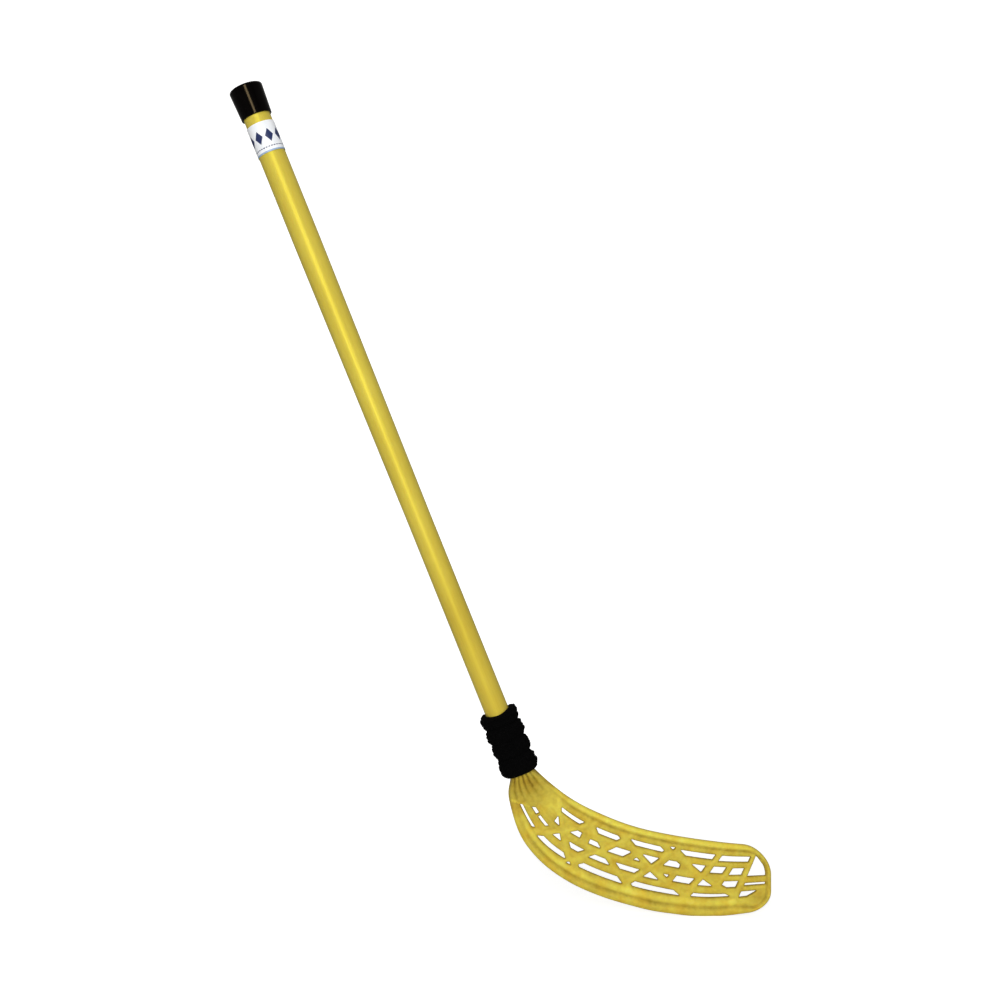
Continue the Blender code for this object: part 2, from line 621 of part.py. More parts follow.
def fill_ring(bm, outer, inner):
    """Triangles between two convex outlines, one inside the other, taken in the order their sides turn."""
    outer, inner = from_heel(outer), from_heel(inner)
    i = j = 0
    while i < len(outer) or j < len(inner):
        a, next_a = outer[i % len(outer)], outer[(i + 1) % len(outer)]
        b, next_b = inner[j % len(inner)], inner[(j + 1) % len(inner)]
        turn = (next_a.co - a.co).normalized().cross((next_b.co - b.co).normalized()).z
        shorter = (next_a.co - b.co).length < (next_b.co - a.co).length
        outer_first = shorter if abs(turn) < PARALLEL else turn > 0
        if j == len(inner) or (i < len(outer) and outer_first):
            bm.faces.new((a, next_a, b))
            i += 1
        else:
            bm.faces.new((a, next_b, b))
            j += 1


def open_windows(bm, rise):
    """Draws each lattice cell in to its window and opens it; small cells and the solid parts stay shut."""
    cells = [f for f in bm.faces if in_lattice(f.calc_center_median())
             and after(ROOT_LINE, f.calc_center_median())]
    for edge in {e for cell in cells for e in cell.edges}:
        start = edge.verts[0]
        for left in range(math.ceil(edge.calc_length() / SWEEP_STEP), 1, -1):
            start = bmesh.utils.edge_split(edge, start, 1.0 / left)[1]
    for cell in cells:
        for vert in cell.verts:
            vert[rise] = RIB_RISE
    for cell in cells:
        if stays_shut(cell):
            continue
        outer = list(cell.verts)
        points = [v.co.copy() for v in outer]
        limit = inscribed(cell) - SMALLEST_WINDOW
        crown = draw_in(points, CROWN_SHARE, limit)
        window = draw_in(points, 1.0, limit)
        if len(window) < 3:
            continue
        bmesh.ops.delete(bm, geom=[cell], context="FACES_ONLY")
        crown_loop = add_loop(bm, crown, rise, RIB_RISE)
        fill_ring(bm, outer, crown_loop)
        fill_ring(bm, crown_loop, add_loop(bm, window, rise, -WINDOW_EDGE_DROP))


def depth_share(x, y):
    """Share of the way from upper edge to sole, with the rows bowed near the heel."""
    across = y / BLADE_DEPTH
    near = max(1 - ((x - BOW_PLACE) / BOW_REACH) ** 2, 0.0)
    return across + ROW_BOW / BLADE_DEPTH * near ** 2 * 4 * across * (1 - across)


def sweep_blade(bm, rise):
    """Gives the flat layout its thickness and bends it to the blade's outline."""
    upper_start, sole_start = neck_ends()
    upper = Edge([upper_start] + [Vector(p) for p in TOP_EDGE])
    sole = Edge([sole_start] + [Vector(p) for p in SOLE_EDGE])
    shaft = Vector((-math.sin(SHAFT_LEAN), math.cos(SHAFT_LEAN)))
    front = bm.verts[:]
    made = bmesh.ops.extrude_face_region(bm, geom=bm.faces[:], use_keep_orig=True)
    back = {v for v in made["geom"] if isinstance(v, bmesh.types.BMVert)}
    for vert in list(front) + list(back):
        x, y = vert.co.x, vert.co.y
        half = half_thickness(x, y) + vert[rise]
        share = x / BLADE_SWEEP
        place = upper.at(share).lerp(sole.at(share), depth_share(x, y))
        if x < 0:
            middle = (upper.at(0) + sole.at(0)) / 2
            tuck = 1 + x / (ROOT_PLUG_DEPTH + SHOULDER_BOTTOM) * PLUG_TAPER
            place = middle + (place - middle) * tuck - shaft * x
            half *= tuck
        vert.co = (place.x, half if vert in back else -half, max(place.y, SOLE_LEVEL))


def make_blade(group, tools, finish, axis):
    bm = bmesh.new()
    lay_out_rim(bm)
    lay_out_lattice(bm)
    lay_out_neck(bm)
    rise = bm.verts.layers.float.new("rise")
    open_windows(bm, rise)
    bmesh.ops.triangulate(bm, faces=bm.faces)
    sweep_blade(bm, rise)
    bmesh.ops.triangulate(bm, faces=bm.faces)
    bmesh.ops.recalc_face_normals(bm, faces=bm.faces)
    mesh = bpy.data.meshes.new("blade")
    bm.to_mesh(mesh)
    bm.free()
    shade_round(mesh)
    blade = new_object("blade", mesh, group, finish)
    spigot = make_spigot(tools)
    spigot.parent = axis
    cut(blade, spigot, "UNION")
    return blade


def main():
    for old in list(bpy.data.objects):
        bpy.data.objects.remove(old, do_unlink=True)
    group = bpy.data.collections.new("hockey_stick")
    tools = bpy.data.collections.new("cutters")
    for made in (group, tools):
        bpy.context.scene.collection.children.link(made)

    yellow_tube = material("yellow_polyethylene", (224, 205, 66), 0.38)
    yellow_blade = material("clear_yellow_polyethylene", (205, 178, 58), 0.30)
    black_vinyl = material("black_vinyl", (18, 18, 20), 0.25)
    black_foam = material("black_foam", (14, 14, 15), 0.95)
    white_paper = material("white_film", (240, 243, 247), 0.45)
    zinc_steel = material("zinc_plated_steel", (176, 178, 182), 0.35, 1.0)

    axis = bpy.data.objects.new("shaft_axis", None)
    axis.location = (NECK_X, 0.0, NECK_Z)
    axis.rotation_euler = (0.0, -SHAFT_LEAN, 0.0)
    group.objects.link(axis)

    blade = make_blade(group, tools, yellow_blade, axis)
    tube = make_shaft_tube(group, yellow_tube)
    collar = make_foam_collar(group, black_foam)
    cap = make_end_cap(group, black_vinyl)
    label = make_label_band(group, white_paper)
    for piece in (tube, collar, cap, label):
        piece.parent = axis
    for number, (station, side) in enumerate(zip(SCREW_STATIONS, (-1, 1)), 1):
        name = "front" if side < 0 else "back"
        screw = make_screw(f"blade_screw_{name}", station, side, group, zinc_steel)
        hole = make_screw_hole(f"screw_hole_{number}", station, tools)
        hole.rotation_euler = screw.rotation_euler
        hole.location = screw.location
        screw.parent = axis
        hole.parent = axis
        cut(tube, hole)
        cut(blade, hole)


main()
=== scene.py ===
"""Looks of the gym hockey stick: yellow tube, translucent lattice blade, foam collar and vinyl end cap.

Metres, +Z up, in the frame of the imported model. The camera stands level in front of the stick.
"""
import math

import bmesh
import bpy
from mathutils import Matrix, Vector, geometry, kdtree, noise


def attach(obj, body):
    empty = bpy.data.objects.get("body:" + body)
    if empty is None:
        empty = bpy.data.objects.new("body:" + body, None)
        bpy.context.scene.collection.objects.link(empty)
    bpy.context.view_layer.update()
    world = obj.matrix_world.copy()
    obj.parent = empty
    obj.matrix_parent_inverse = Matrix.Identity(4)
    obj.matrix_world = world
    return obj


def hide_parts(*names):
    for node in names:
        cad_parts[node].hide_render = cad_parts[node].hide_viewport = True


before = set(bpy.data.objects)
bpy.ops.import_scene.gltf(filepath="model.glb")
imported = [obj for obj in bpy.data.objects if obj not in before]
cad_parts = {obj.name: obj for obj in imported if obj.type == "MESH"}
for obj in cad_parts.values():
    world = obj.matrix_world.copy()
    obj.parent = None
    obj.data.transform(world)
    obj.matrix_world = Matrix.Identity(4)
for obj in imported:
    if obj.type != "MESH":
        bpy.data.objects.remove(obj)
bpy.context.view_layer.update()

# Shaft axis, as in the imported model
SHAFT_LEAN = math.radians(22.0)
NECK_X = -0.2106
NECK_Z = 0.1555
SHAFT_LENGTH = 0.8048
SHAFT_HAND_DIAMETER = 0.0300
SHAFT_LOW_DIAMETER = 0.0267
SHAFT_WALL = 0.0025
FIT_GAP = 0.0003
AXIS = Matrix.Translation((NECK_X, 0.0, NECK_Z)) @ Matrix.Rotation(-SHAFT_LEAN, 4, "Y")

# Blade root inside the collar
SHOULDER_BOTTOM = 0.0045
SHOULDER_TOP = 0.0240
SPIGOT_LENGTH = 0.0480
SPIGOT_CHAMFER = 0.0020
ROOT_PLUG_DEPTH = 0.0040
ROOT_SEGMENTS = 64
BLADE_START = -ROOT_PLUG_DEPTH - SHOULDER_BOTTOM  # the blade's skin starts this far inside the shoulder

# Butt cap and label band
CAP_LENGTH = 0.0345
CAP_MOUTH_DIAMETER = 0.0342
CAP_END_DIAMETER = 0.0374
CAP_END_THICKNESS = 0.0040
CAP_EDGE_RADIUS = 0.0022
CAP_LIP_RADIUS = 0.0007
CAP_FLANK_SHARES = (0.02, 0.06, 0.50, 0.94, 0.98)  # rings down the flank, close together at both ends
CAP_EDGE_POINTS = 8
CAP_LIP_POINTS = 5
CAP_SEGMENTS = 96
LABEL_BELOW_CAP = 0.0100
LABEL_HEIGHT = 0.0338

# Printing on the band, from its lower edge up
BLUE_EDGE_TOP = 0.0018
DASHES_BOTTOM = 0.0050
DASHES_TOP = 0.0061
DASH_HALF_LENGTH = 0.00097
DASHES_A_LOZENGE = 4
LOZENGES_ROUND = 8
LOZENGE_MIDDLE = 0.0176
LOZENGE_HALF_HEIGHT = 0.0075
LOZENGE_HALF_WIDTH = 0.00453

# Foam collar
COLLAR_LENGTH = 0.0742
COLLAR_LOBES = (0.0178, 0.0172, 0.0178, 0.0214)  # from the top down
COLLAR_RADIUS = 0.0209
COLLAR_GROOVE = 0.0031
LOBE_FULLNESS = 0.6  # 1 is a half sine, less is fuller
COLLAR_END_RADIUS = 0.0040  # rounding of both ends
COLLAR_END_WALL = 0.0022  # flat ring left round the bore at both ends
COLLAR_DIP = 0.0045  # how much lower the torn mouth sits in front and behind
COLLAR_DIP_FADE = 0.0140
COLLAR_MOUTH_RADIUS = 0.0150
COLLAR_MOUTH_STEP = 0.0012  # the mouth's inner edge below the top
COLLAR_DISH_DEPTH = 0.0085
COLLAR_BORE_RING = 0.02968  # a ring half way up the bore
COLLAR_OUTSIDE = 0.0155  # radius that parts the torn outside from the plain bore
COLLAR_LIMIT = 0.0221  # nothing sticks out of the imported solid
COLLAR_RINGS = 170
COLLAR_SEGMENTS = 150
FOAM_FADE = 0.0020  # the torn skin comes in over this length at both ends
FOAM_SLUMP = 0.6  # how much a lump also moves along the shaft
# Lumps and grain of the torn skin: height, and how many to a metre (about 5, 2 and 0.7 mm across)
FOAM_LUMPS = (0.0019, 190.0)
FOAM_SMALL_LUMPS = (0.001045, 480.0)
FOAM_GRAIN = (0.0007, 1400.0)

# Blade outline in the X-Z plane, past the neck: upper edge and sole, heel to toe
TOP_EDGE = ((-0.1764, 0.1404), (-0.1355, 0.1156), (-0.0729, 0.0920), (0.0024, 0.0790), (0.0610, 0.0750))
SOLE_EDGE = ((-0.2228, 0.1264), (-0.2023, 0.0812), (-0.1657, 0.0488), (-0.1053, 0.0186),
             (-0.0407, 0.0020), (0.0024, -0.0006), (0.0610, 0.0064))
SOLE_LEVEL = 0.0  # the sole is rubbed flat at its lowest stretch

# How far the moulded rim stands outside those edges, at even steps of the sweep; the lattice stays
SWELL_STEP = 0.08
SOLE_SWELL = (0.0, 0.0021, 0.0047, 0.0056, 0.0069, 0.0069, 0.0051, 0.0031, 0.0024, 0.0006, 0.0, 0.0,
              0.0, 0.0)
TOP_SWELL = (0.0006, 0.0013, 0.0003, 0.0, 0.0, 0.0, 0.0005, 0.0011, 0.0012, 0.0012, 0.0012, 0.0010,
             0.0003, 0.0)

# The blade is laid out flat before it is swept to that outline: sweep along the blade, depth across it
BLADE_SWEEP = 0.320
BLADE_DEPTH = 0.078
TOE_TOP_RADIUS = 0.035
TOE_SOLE_RADIUS = 0.0225
TOE_ARC_POINTS = 24
RIM_WIDTH = 0.0060

# Lattice: four rows of windows between three stringers, crossed by slanted ribs
LATTICE_TOP = 0.0105  # below the upper edge
LATTICE_SOLE_HEEL = 0.0070  # above the sole edge, where the sweep starts
LATTICE_SOLE_TOE = 0.0172  # the same at the toe's end
ROW_BOW = 0.0037  # how far the rows bow towards the sole near the heel
BOW_PLACE = 0.0930
BOW_REACH = 0.0860
STRINGERS = ((0.0226, 0.0226), (0.0372, 0.0368), (0.0533, 0.0500))  # below the upper edge, heel and toe
TOE_STRINGERS = (0.0398, 0.0491)  # the same past the toe rib
STRINGER_WIDTH = 0.0068
RIB_WIDTH = 0.0082
ROOT_WIDENING = (1.30, 1.95)  # factor on a stringer's width at the root: upper rows, lower rows
RIB_WIDENING = 1.25  # the same on a rib's
WIDENING_START = 0.0300
WIDENING_END = 0.1500
TOE_LAND = 0.0010  # twice what the toe's windows keep clear of the rim
SMALLEST_CELL = 0.0040  # inscribed radius of a cell that is still opened
SMALLEST_WINDOW = 0.0012  # inscribed radius of its window
PINHOLES = ((0.2022, 0.0115), (0.1088, 0.0660))  # small cells that are open all the same
CROSSING_SNAP = 0.0014  # ribs that cross this close together meet in one point
SHORT_SIDE = 0.0010  # a cell's side shorter than this draws no side of its window
LEVEL_SLOPE = 0.25  # sides flatter than this count as stringers

# Slanted ribs, as places along the sweep at two depths below the upper edge
RIB_DEPTHS = (0.0105, 0.0675)
TOE_RIB = (0.2990, 0.2790)
TOE_CORNER = (0.3004, 0.3451)  # the corner past this line is solid
TOE_HEEL = (0.3803, 0.2805)  # past this line the toe's lower corner is solid too
BACK_RIBS = ((0.0525, 0.1150), (0.0950, 0.1800), (0.1380, 0.2460), (0.1960, 0.3020))
FORE_RIBS = ((0.1040, 0.0590), (0.1500, 0.1040), (0.2060, 0.1630), (0.2590, 0.2260))
STRUT_RIB = (0.2800, 0.2500)
ROOT_LINE = (0.0590, 0.0240)  # the lattice starts past this line

# Short struts that cross one row: row number, and places as for the ribs
HEEL_STRUT = (0.0575, 0.0465)
ROW_STRUTS = ((1, (0.0590, 0.0700)), (1, (0.1010, 0.1170)), (1, (0.1800, 0.1300)), (1, (0.2220, 0.2220)),
              (2, (0.2240, 0.2010)), (2, HEEL_STRUT))
NARROW_RIBS = ((ROOT_LINE, 0.0060), (HEEL_STRUT, 0.0034), (TOE_HEEL, 0.0020))

# Windows that sit unevenly in their cells: the cell's middle, then half the width of the land
# above, below, towards the heel and towards the toe
UNEVEN_WINDOWS = (
    (0.0788, 0.0166, 0.0045, 0.0035, 0.0025, 0.0050),
    (0.1748, 0.0166, 0.0026, 0.0044, 0.0036, 0.0065),
    (0.2311, 0.0166, 0.0019, 0.0050, 0.0050, 0.0035),
    (0.2755, 0.0166, 0.0024, 0.0038, 0.0035, 0.0028),
    (0.0715, 0.0299, 0.0055, 0.0030, 0.0044, 0.0020),
    (0.0951, 0.0298, 0.0040, 0.0045, 0.0025, 0.0055),
    (0.1175, 0.0298, 0.0060, 0.0037, 0.0055, 0.0009),
    (0.1487, 0.0298, 0.0034, 0.0034, 0.0030, 0.0049),
    (0.1818, 0.0294, 0.0027, 0.0034, 0.0025, 0.0027),
    (0.2043, 0.0298, 0.0027, 0.0055, 0.0066, 0.0056),
    (0.2370, 0.0297, 0.0023, 0.0034, 0.0027, 0.0052),
    (0.2594, 0.0297, 0.0024, 0.0050, 0.0033, 0.0031),
    (0.3014, 0.0251, 0.0034, 0.0046, 0.0030, 0.0041),
    (0.0655, 0.0449, 0.0061, 0.0059, 0.0080, 0.0088),
    (0.0846, 0.0448, 0.0028, 0.0055, 0.0022, 0.0030),
    (0.1051, 0.0447, 0.0052, 0.0044, 0.0053, 0.0080),
    (0.1364, 0.0446, 0.0052, 0.0044, 0.0013, 0.0024),
    (0.1603, 0.0443, 0.0050, 0.0044, 0.0041, 0.0045),
    (0.2270, 0.0440, 0.0027, 0.0049, 0.0041, 0.0055),
    (0.2530, 0.0439, 0.0034, 0.0050, 0.0017, 0.0020),
    (0.0832, 0.0607, 0.0050, 0.0046, 0.0040, 0.0038),
    (0.1427, 0.0595, 0.0045, 0.0038, 0.0068, 0.0028),
    (0.2035, 0.0582, 0.0038, 0.0044, 0.0040, 0.0020),
    (0.2567, 0.0570, 0.0035, 0.0053, 0.0045, 0.0025),
)
MIDDLE_MATCH = 0.0040  # how near a cell's middle has to be to one of these
CLOSED_ABOVE = 0.0285  # second-row cells centred above this, near the root, stay closed
CLOSED_UP_TO = 0.1400
CLOSED_CELL = (0.2298, 0.0328)  # one more cell that stays closed

# Half thicknesses of the blade, and the beads, ridges and walls on its plate
PLATE_HALF = 0.0030
EDGE_HALF = 0.0012
RIM_HALF = 0.0044
RIDGE_HALF = 0.0041
WINDOW_EDGE_HALF = 0.0009
MOST_RISE = 0.0014
TOP_BEAD = 0.0078
SOLE_BEAD = 0.0100
TOE_BEAD = 0.0055
TOE_BEAD_START = 0.2800
TOE_BEAD_BLEND = 0.0300
BEAD_START = 0.0150  # the bead is low at the neck and full further along
BEAD_GROWTH = 0.0750
BEAD_AT_NECK = 0.4
GROOVE_DEPTH = 0.0005
GROOVE_BLEND = 0.30
RIDGE_REACH = 0.0044
RIDGE_END = 0.3050
RIDGE_FADE = 0.0300

# Rounded crests on the ribs: half width, rise over the plate and change of tone, a painted highlight along
# the crest
SLANTED_CREST = (0.0034, 0.0006, 0.10)
STRUT_CREST = (0.00272, 0.0006, 0.10)
STRINGER_CREST = (0.00272, 0.0004, 0.05)
TOE_CREST = (0.00204, 0.0004, 0.05)
ROOT_CREST = (0.0012, 0.0007, 0.30)
ROOT_CREST_ENDS = ((0.0210, 0.0770), (0.0370, 0.0500))
CREST_FULLNESS = 0.8
CREST_LEAD = 0.0020  # crests of full ribs start this far above the lattice
CREST_TOP = 0.0039  # the last fore rib's starts this far below the upper edge
CREST_SOLE = 0.0070  # crests end this far above the sole edge

# Painted light and shade on the plastic, as a tone from 0 in the deepest walls to 1 on the brightest crests:
# painted highlights on the beads and ridges, painted shade in the grooves, flutes and window walls, and
# darker over the neck
PLATE_TONE = 0.47
TOP_BEAD_HIGHLIGHT = 0.38
SOLE_BEAD_HIGHLIGHT = 0.06
GROOVE_SHADE = 0.22
SOLE_RIDGE_HIGHLIGHT = 0.26
NECK_DARKENING = 0.17
FLUTE_SHADE = 0.19
WALL_SHADE = 0.20

# Points of the blade's skin
WALL_LINES = (0.0003, 0.0007, 0.0012, 0.0018)  # distances from a window's edge
WALL_CLEAR = WALL_LINES[0] * 0.9  # points nearer to a window than this are left out
WALL_FULLNESS = 0.85  # 1 is a quarter sine, less is fuller
WINDOW_CORNER_RADIUS = 0.0008
CORNER_POINTS = 5
CORNER_SHARE = 0.42  # the most that one corner takes of a side
SHARPEST_CORNER = 0.05  # tangent of half its angle
RIM_STEPS = 14
RIM_CROWDING = 1.2  # over 1, lines stand closer together near the rim
RIM_STEP = 0.0024
EDGE_STEP = 0.0010
GRID_STEP = 0.0014
ROW_PITCH = 0.87  # rows of a grid of even-sided triangles
TREE_STEP = 0.0003
SLIVER = 0.0001  # points nearer to the outline than this are left out
MERGE_DISTANCE = 1e-6
TRIANGLE_SNAP = 2e-5

# Fluted neck between the collar and the lattice
FLUTES = 6
FLUTE_DEPTH = 0.0014
FLUTE_FADE_START = 0.0160
FLUTE_FADE_END = 0.0440
NECK_FADE = 0.0480
NECK_EDGE_HALF = 0.0012
PLUG_TAPER = 0.08

SHARP_ANGLE = math.radians(40.0)

# Real sizes of the patterns in the materials, and across and along the shaft where they are drawn out;
# the foam's cells, the draw lines and the turned marks are coarser than real ones, so that they show
PIGMENT_CLOUD = (0.0455, 0.13)
DRAW_LINE = (0.00111, 0.0925)
MOULDED_CLOUD = 0.01667
FLOW_MARK = 0.00435
WARM_PATCH = 0.01429
DIP_MARK = (0.00625, 0.025)
FOAM_CELL = 0.000769
FOAM_TEAR = 0.00238
FILM_MOTTLE = 0.0111
TURNED_MARK = 0.00111
# Painted light along the tube: the lower shaft is painted a touch darker and more ochre, standing in for
# light that falls off there.
PAINTED_LIGHT_FROM = 0.05  # the tube pales between these heights up the shaft
PAINTED_LIGHT_FULL = 0.42

# Stage behind the stick; near the stick it is lifted less, so that the shadow stays
STAGE_SIDE = 4.0
STAGE_HEIGHT = 3.0
STAGE_BEND_START = 1.4
STAGE_BEND = 0.8
STAGE_BEND_POINTS = 16
STAGE_LIFT_NEAR = 0.74
SHADOW_MIDDLE = (-0.08, 0.05, 0.0)
SHADOW_REACH = (0.22, 0.75)

# Camera level with the stick's middle, and soft lights: place, target, size and watts
CAMERA_PLACE = (-0.23435, -1.6132, 0.45268)
CAMERA_SENSOR = 36.0
CAMERA_LENS = 53.28
WORLD_STRENGTH = 0.21
LIGHTS = {
    "key": ((-0.5, -2.6, 1.05), (-0.25, 0.0, 0.42), (0.5, 1.6), 54.0),
    "fill": ((1.6, -1.5, 0.9), (-0.1, 0.0, 0.4), (1.2, 1.2), 2.5),
    "top": ((-0.1, 0.3, 2.2), (-0.1, 0.0, 0.3), (1.6, 1.6), 8.0),
}


def linear(code):
    """An sRGB colour written as hex, as a linear RGBA tuple."""
    channels = [int(code[i:i + 2], 16) / 255.0 for i in (0, 2, 4)]
    return tuple(c / 12.92 if c <= 0.04045 else ((c + 0.055) / 1.055) ** 2.4 for c in channels) + (1.0,)


def add(tree, kind, *sockets, **settings):
    """Adds a shader node; sockets are set or linked in order or by name, with underscores for spaces."""
    made = tree.nodes.new("ShaderNode" + kind)
    for name, value in [*settings.items(), *enumerate(sockets)]:
        socket = name.replace("_", " ") if isinstance(name, str) else name
        if isinstance(value, bpy.types.Node):
            value = value.outputs[0]
        if isinstance(value, bpy.types.NodeSocket):
            tree.links.new(value, made.inputs[socket])
        elif name == "stops":
            elements = made.color_ramp.elements
            while len(elements) < len(value):
                elements.new(0.5)
            for element, (position, code) in zip(elements, value):
                element.position, element.color = position, linear(code)
        elif isinstance(name, int) or socket in made.inputs:
            made.inputs[socket].default_value = value
        else:
            setattr(made, name, value)
    return made


def new_material(name, finish):
    """A material whose nodes are laid out by the given function, which returns its shader."""
    made = bpy.data.materials.new(name)
    made.use_nodes = True
    made.node_tree.nodes.clear()
    add(made.node_tree, "OutputMaterial", Surface=finish(made.node_tree))
    return made


def shaft_coordinates(tree):
    """Object coordinates in the shaft's own frame: z runs up its axis from the collar's lower end."""
    where = add(tree, "TexCoord").outputs["Object"]
    return add(tree, "Mapping", where, vector_type="TEXTURE", Location=(NECK_X, 0.0, NECK_Z),
               Rotation=(0.0, -SHAFT_LEAN, 0.0))


def tube_plastic(tree):
    """Extruded polyethylene: satin, with fine draw lines along it and cloudy pigment, and painted light:
    paler higher up, the lower shaft a touch darker and more ochre.
    """
    local = shaft_coordinates(tree)
    patterns = []
    for (across, along_shaft), detail in ((PIGMENT_CLOUD, 3.0), (DRAW_LINE, 2.0)):
        drawn = add(tree, "Mapping", local, Scale=(1, 1, across / along_shaft))
        patterns.append(add(tree, "TexNoise", drawn, Scale=1 / across, Detail=detail))
    clouds, lines = patterns
    faint = add(tree, "Math", lines, 0.25, operation="MULTIPLY")
    mixed = add(tree, "Math", clouds, 0.75, faint, operation="MULTIPLY_ADD")
    up = add(tree, "SeparateXYZ", local).outputs["Z"]
    # Painted light: the upper shaft takes the paler tone, the lower shaft the darker, more ochre one.
    high = add(tree, "MapRange", up, From_Min=PAINTED_LIGHT_FROM, From_Max=PAINTED_LIGHT_FULL)
    shaded_low_tone = add(tree, "ValToRGB", mixed, stops=((0.25, "C6AA3C"), (0.5, "D2BA48"), (0.75, "DAC455")))
    lit_high_tone = add(tree, "ValToRGB", mixed, stops=((0.25, "C6AE42"), (0.5, "D1BC4A"), (0.75, "DAC854")))
    colour = add(tree, "MixRGB", high, shaded_low_tone, lit_high_tone)
    return add(tree, "BsdfPrincipled", colour, Roughness=0.41, IOR=1.5,
               Normal=add(tree, "Bump", Height=lines, Strength=0.12, Distance=0.0002),
               Specular_IOR_Level=1.0, Specular_Tint=linear("FFF04C"),
               Subsurface_Weight=0.3, Subsurface_Radius=(1.0, 0.7, 0.15), Subsurface_Scale=0.003)


def blade_plastic(tree):
    """Injection-moulded polyethylene, cloudy and translucent, with painted shade where the ribs' walls fall
    away and painted highlights on crests and beads.
    """
    where = add(tree, "TexCoord").outputs["Object"]
    clouds = add(tree, "TexNoise", where, Scale=1 / MOULDED_CLOUD, Detail=4.0, Distortion=0.8)
    flow = add(tree, "TexNoise", where, Scale=1 / FLOW_MARK, Detail=4.0)
    # Painted light and shade stored by the sweep: lighter on beads and crests, darker in grooves, flutes and
    # window walls.
    tone = add(tree, "Attribute", attribute_name="relief").outputs["Fac"]
    for pattern, strength in ((clouds, 0.60), (flow, 0.35)):
        swing = add(tree, "Math", pattern, 0.5, operation="SUBTRACT")
        tone = add(tree, "Math", swing, strength, tone, operation="MULTIPLY_ADD")
    golden = add(tree, "ValToRGB", tone, stops=((0.0, "826C24"), (0.14, "B09A36"), (0.32, "CCB648"),
                                                (0.50, "DECA50"), (0.78, "F2E45C"), (1.0, "FCF474")))
    warm = add(tree, "TexNoise", where, Scale=1 / WARM_PATCH, Detail=3.0)
    share = add(tree, "MapRange", warm, From_Min=0.42, From_Max=0.70, To_Max=0.45)
    colour = add(tree, "MixRGB", share, golden, linear("F8D48C"), blend_type="MULTIPLY")
    return add(tree, "BsdfPrincipled", colour, Roughness=0.42, IOR=1.5, Transmission_Weight=0.15,
               Normal=add(tree, "Bump", Height=flow, Strength=0.35, Distance=0.0005),
               Specular_IOR_Level=0.32, Specular_Tint=linear("FFEC70"),
               Subsurface_Weight=0.3, Subsurface_Radius=(1.0, 0.75, 0.15), Subsurface_Scale=0.003)


def cap_vinyl(tree):
    """Dip-moulded soft vinyl: glossy black with faint flow marks and a thin, warm streak of light."""
    across, along_shaft = DIP_MARK
    drawn = add(tree, "Mapping", shaft_coordinates(tree), Scale=(1, 1, across / along_shaft))
    flow = add(tree, "TexNoise", drawn, Scale=1 / across, Detail=3.0)
    colour = add(tree, "ValToRGB", flow, stops=((0.3, "020203"), (0.7, "070607")))
    return add(tree, "BsdfPrincipled", colour, Roughness=0.12, IOR=1.42,
               Normal=add(tree, "Bump", Height=flow, Strength=0.06, Distance=0.0002),
               Specular_IOR_Level=0.15, Specular_Tint=linear("DCC090"))


def collar_foam(tree):
    """Cut polyurethane foam: dull and deep black, with open cells under a millimetre across."""
    where = add(tree, "TexCoord").outputs["Object"]
    pores = add(tree, "TexVoronoi", where, Scale=1 / FOAM_CELL)
    tears = add(tree, "TexNoise", where, Scale=1 / FOAM_TEAR, Detail=5.0, Roughness=0.7)
    height = add(tree, "Math", pores, tears, operation="ADD")
    colour = add(tree, "ValToRGB", pores, stops=((0.0, "010101"), (0.45, "030303"), (1.0, "0D0C0D")))
    return add(tree, "BsdfPrincipled", colour, Roughness=1.0, Specular_IOR_Level=0.05,
               Normal=add(tree, "Bump", Height=height, Strength=0.8, Distance=0.0006))


def label_film(tree):
    """Printed white film, half glossy: a row of navy lozenges, a fine dashed line and a pale blue edge."""
    local = shaft_coordinates(tree)
    parts = add(tree, "SeparateXYZ", local).outputs
    angle = add(tree, "Math", parts["Y"], parts["X"], operation="ARCTAN2")
    around = add(tree, "Math", angle, SHAFT_HAND_DIAMETER / 2, operation="MULTIPLY")
    bottom = SHAFT_LENGTH - CAP_LENGTH - LABEL_BELOW_CAP - LABEL_HEIGHT
    up = add(tree, "Math", parts["Z"], bottom, operation="SUBTRACT")
    pitch = math.pi * SHAFT_HAND_DIAMETER / LOZENGES_ROUND

    def off_middle(spacing):
        """Distance round the tube from the middle of the nearest mark in a row."""
        later = add(tree, "Math", around, spacing / 2, operation="ADD")
        return add(tree, "Math", later, spacing / 2, operation="PINGPONG")

    def band(low, high):
        """1 between two heights on the film, 0 elsewhere."""
        return add(tree, "Math", up, (low + high) / 2, (high - low) / 2, operation="COMPARE")

    off = add(tree, "Math", up, LOZENGE_MIDDLE, operation="SUBTRACT")
    off = add(tree, "Math", off, operation="ABSOLUTE")
    tall = add(tree, "Math", off, LOZENGE_HALF_HEIGHT, operation="DIVIDE")
    wide = add(tree, "Math", off_middle(pitch), LOZENGE_HALF_WIDTH, operation="DIVIDE")
    slant = add(tree, "Math", wide, tall, operation="ADD")
    lozenges = add(tree, "Math", slant, 1.0, operation="LESS_THAN")
    dash = add(tree, "Math", off_middle(pitch / DASHES_A_LOZENGE), DASH_HALF_LENGTH, operation="LESS_THAN")
    dashes = add(tree, "Math", dash, band(DASHES_BOTTOM, DASHES_TOP), operation="MULTIPLY")
    ink = add(tree, "Math", lozenges, dashes, operation="MAXIMUM")
    mottle = add(tree, "TexNoise", local, Scale=1 / FILM_MOTTLE, Detail=2.0)
    paper = add(tree, "ValToRGB", mottle, stops=((0.3, "F3F6FA"), (0.7, "FBFCFE")))
    edged = add(tree, "MixRGB", band(0.0, BLUE_EDGE_TOP), paper, linear("9DB6D2"))
    printed = add(tree, "MixRGB", ink, edged, linear("24305E"))
    return add(tree, "BsdfPrincipled", printed, Roughness=0.42, IOR=1.46)


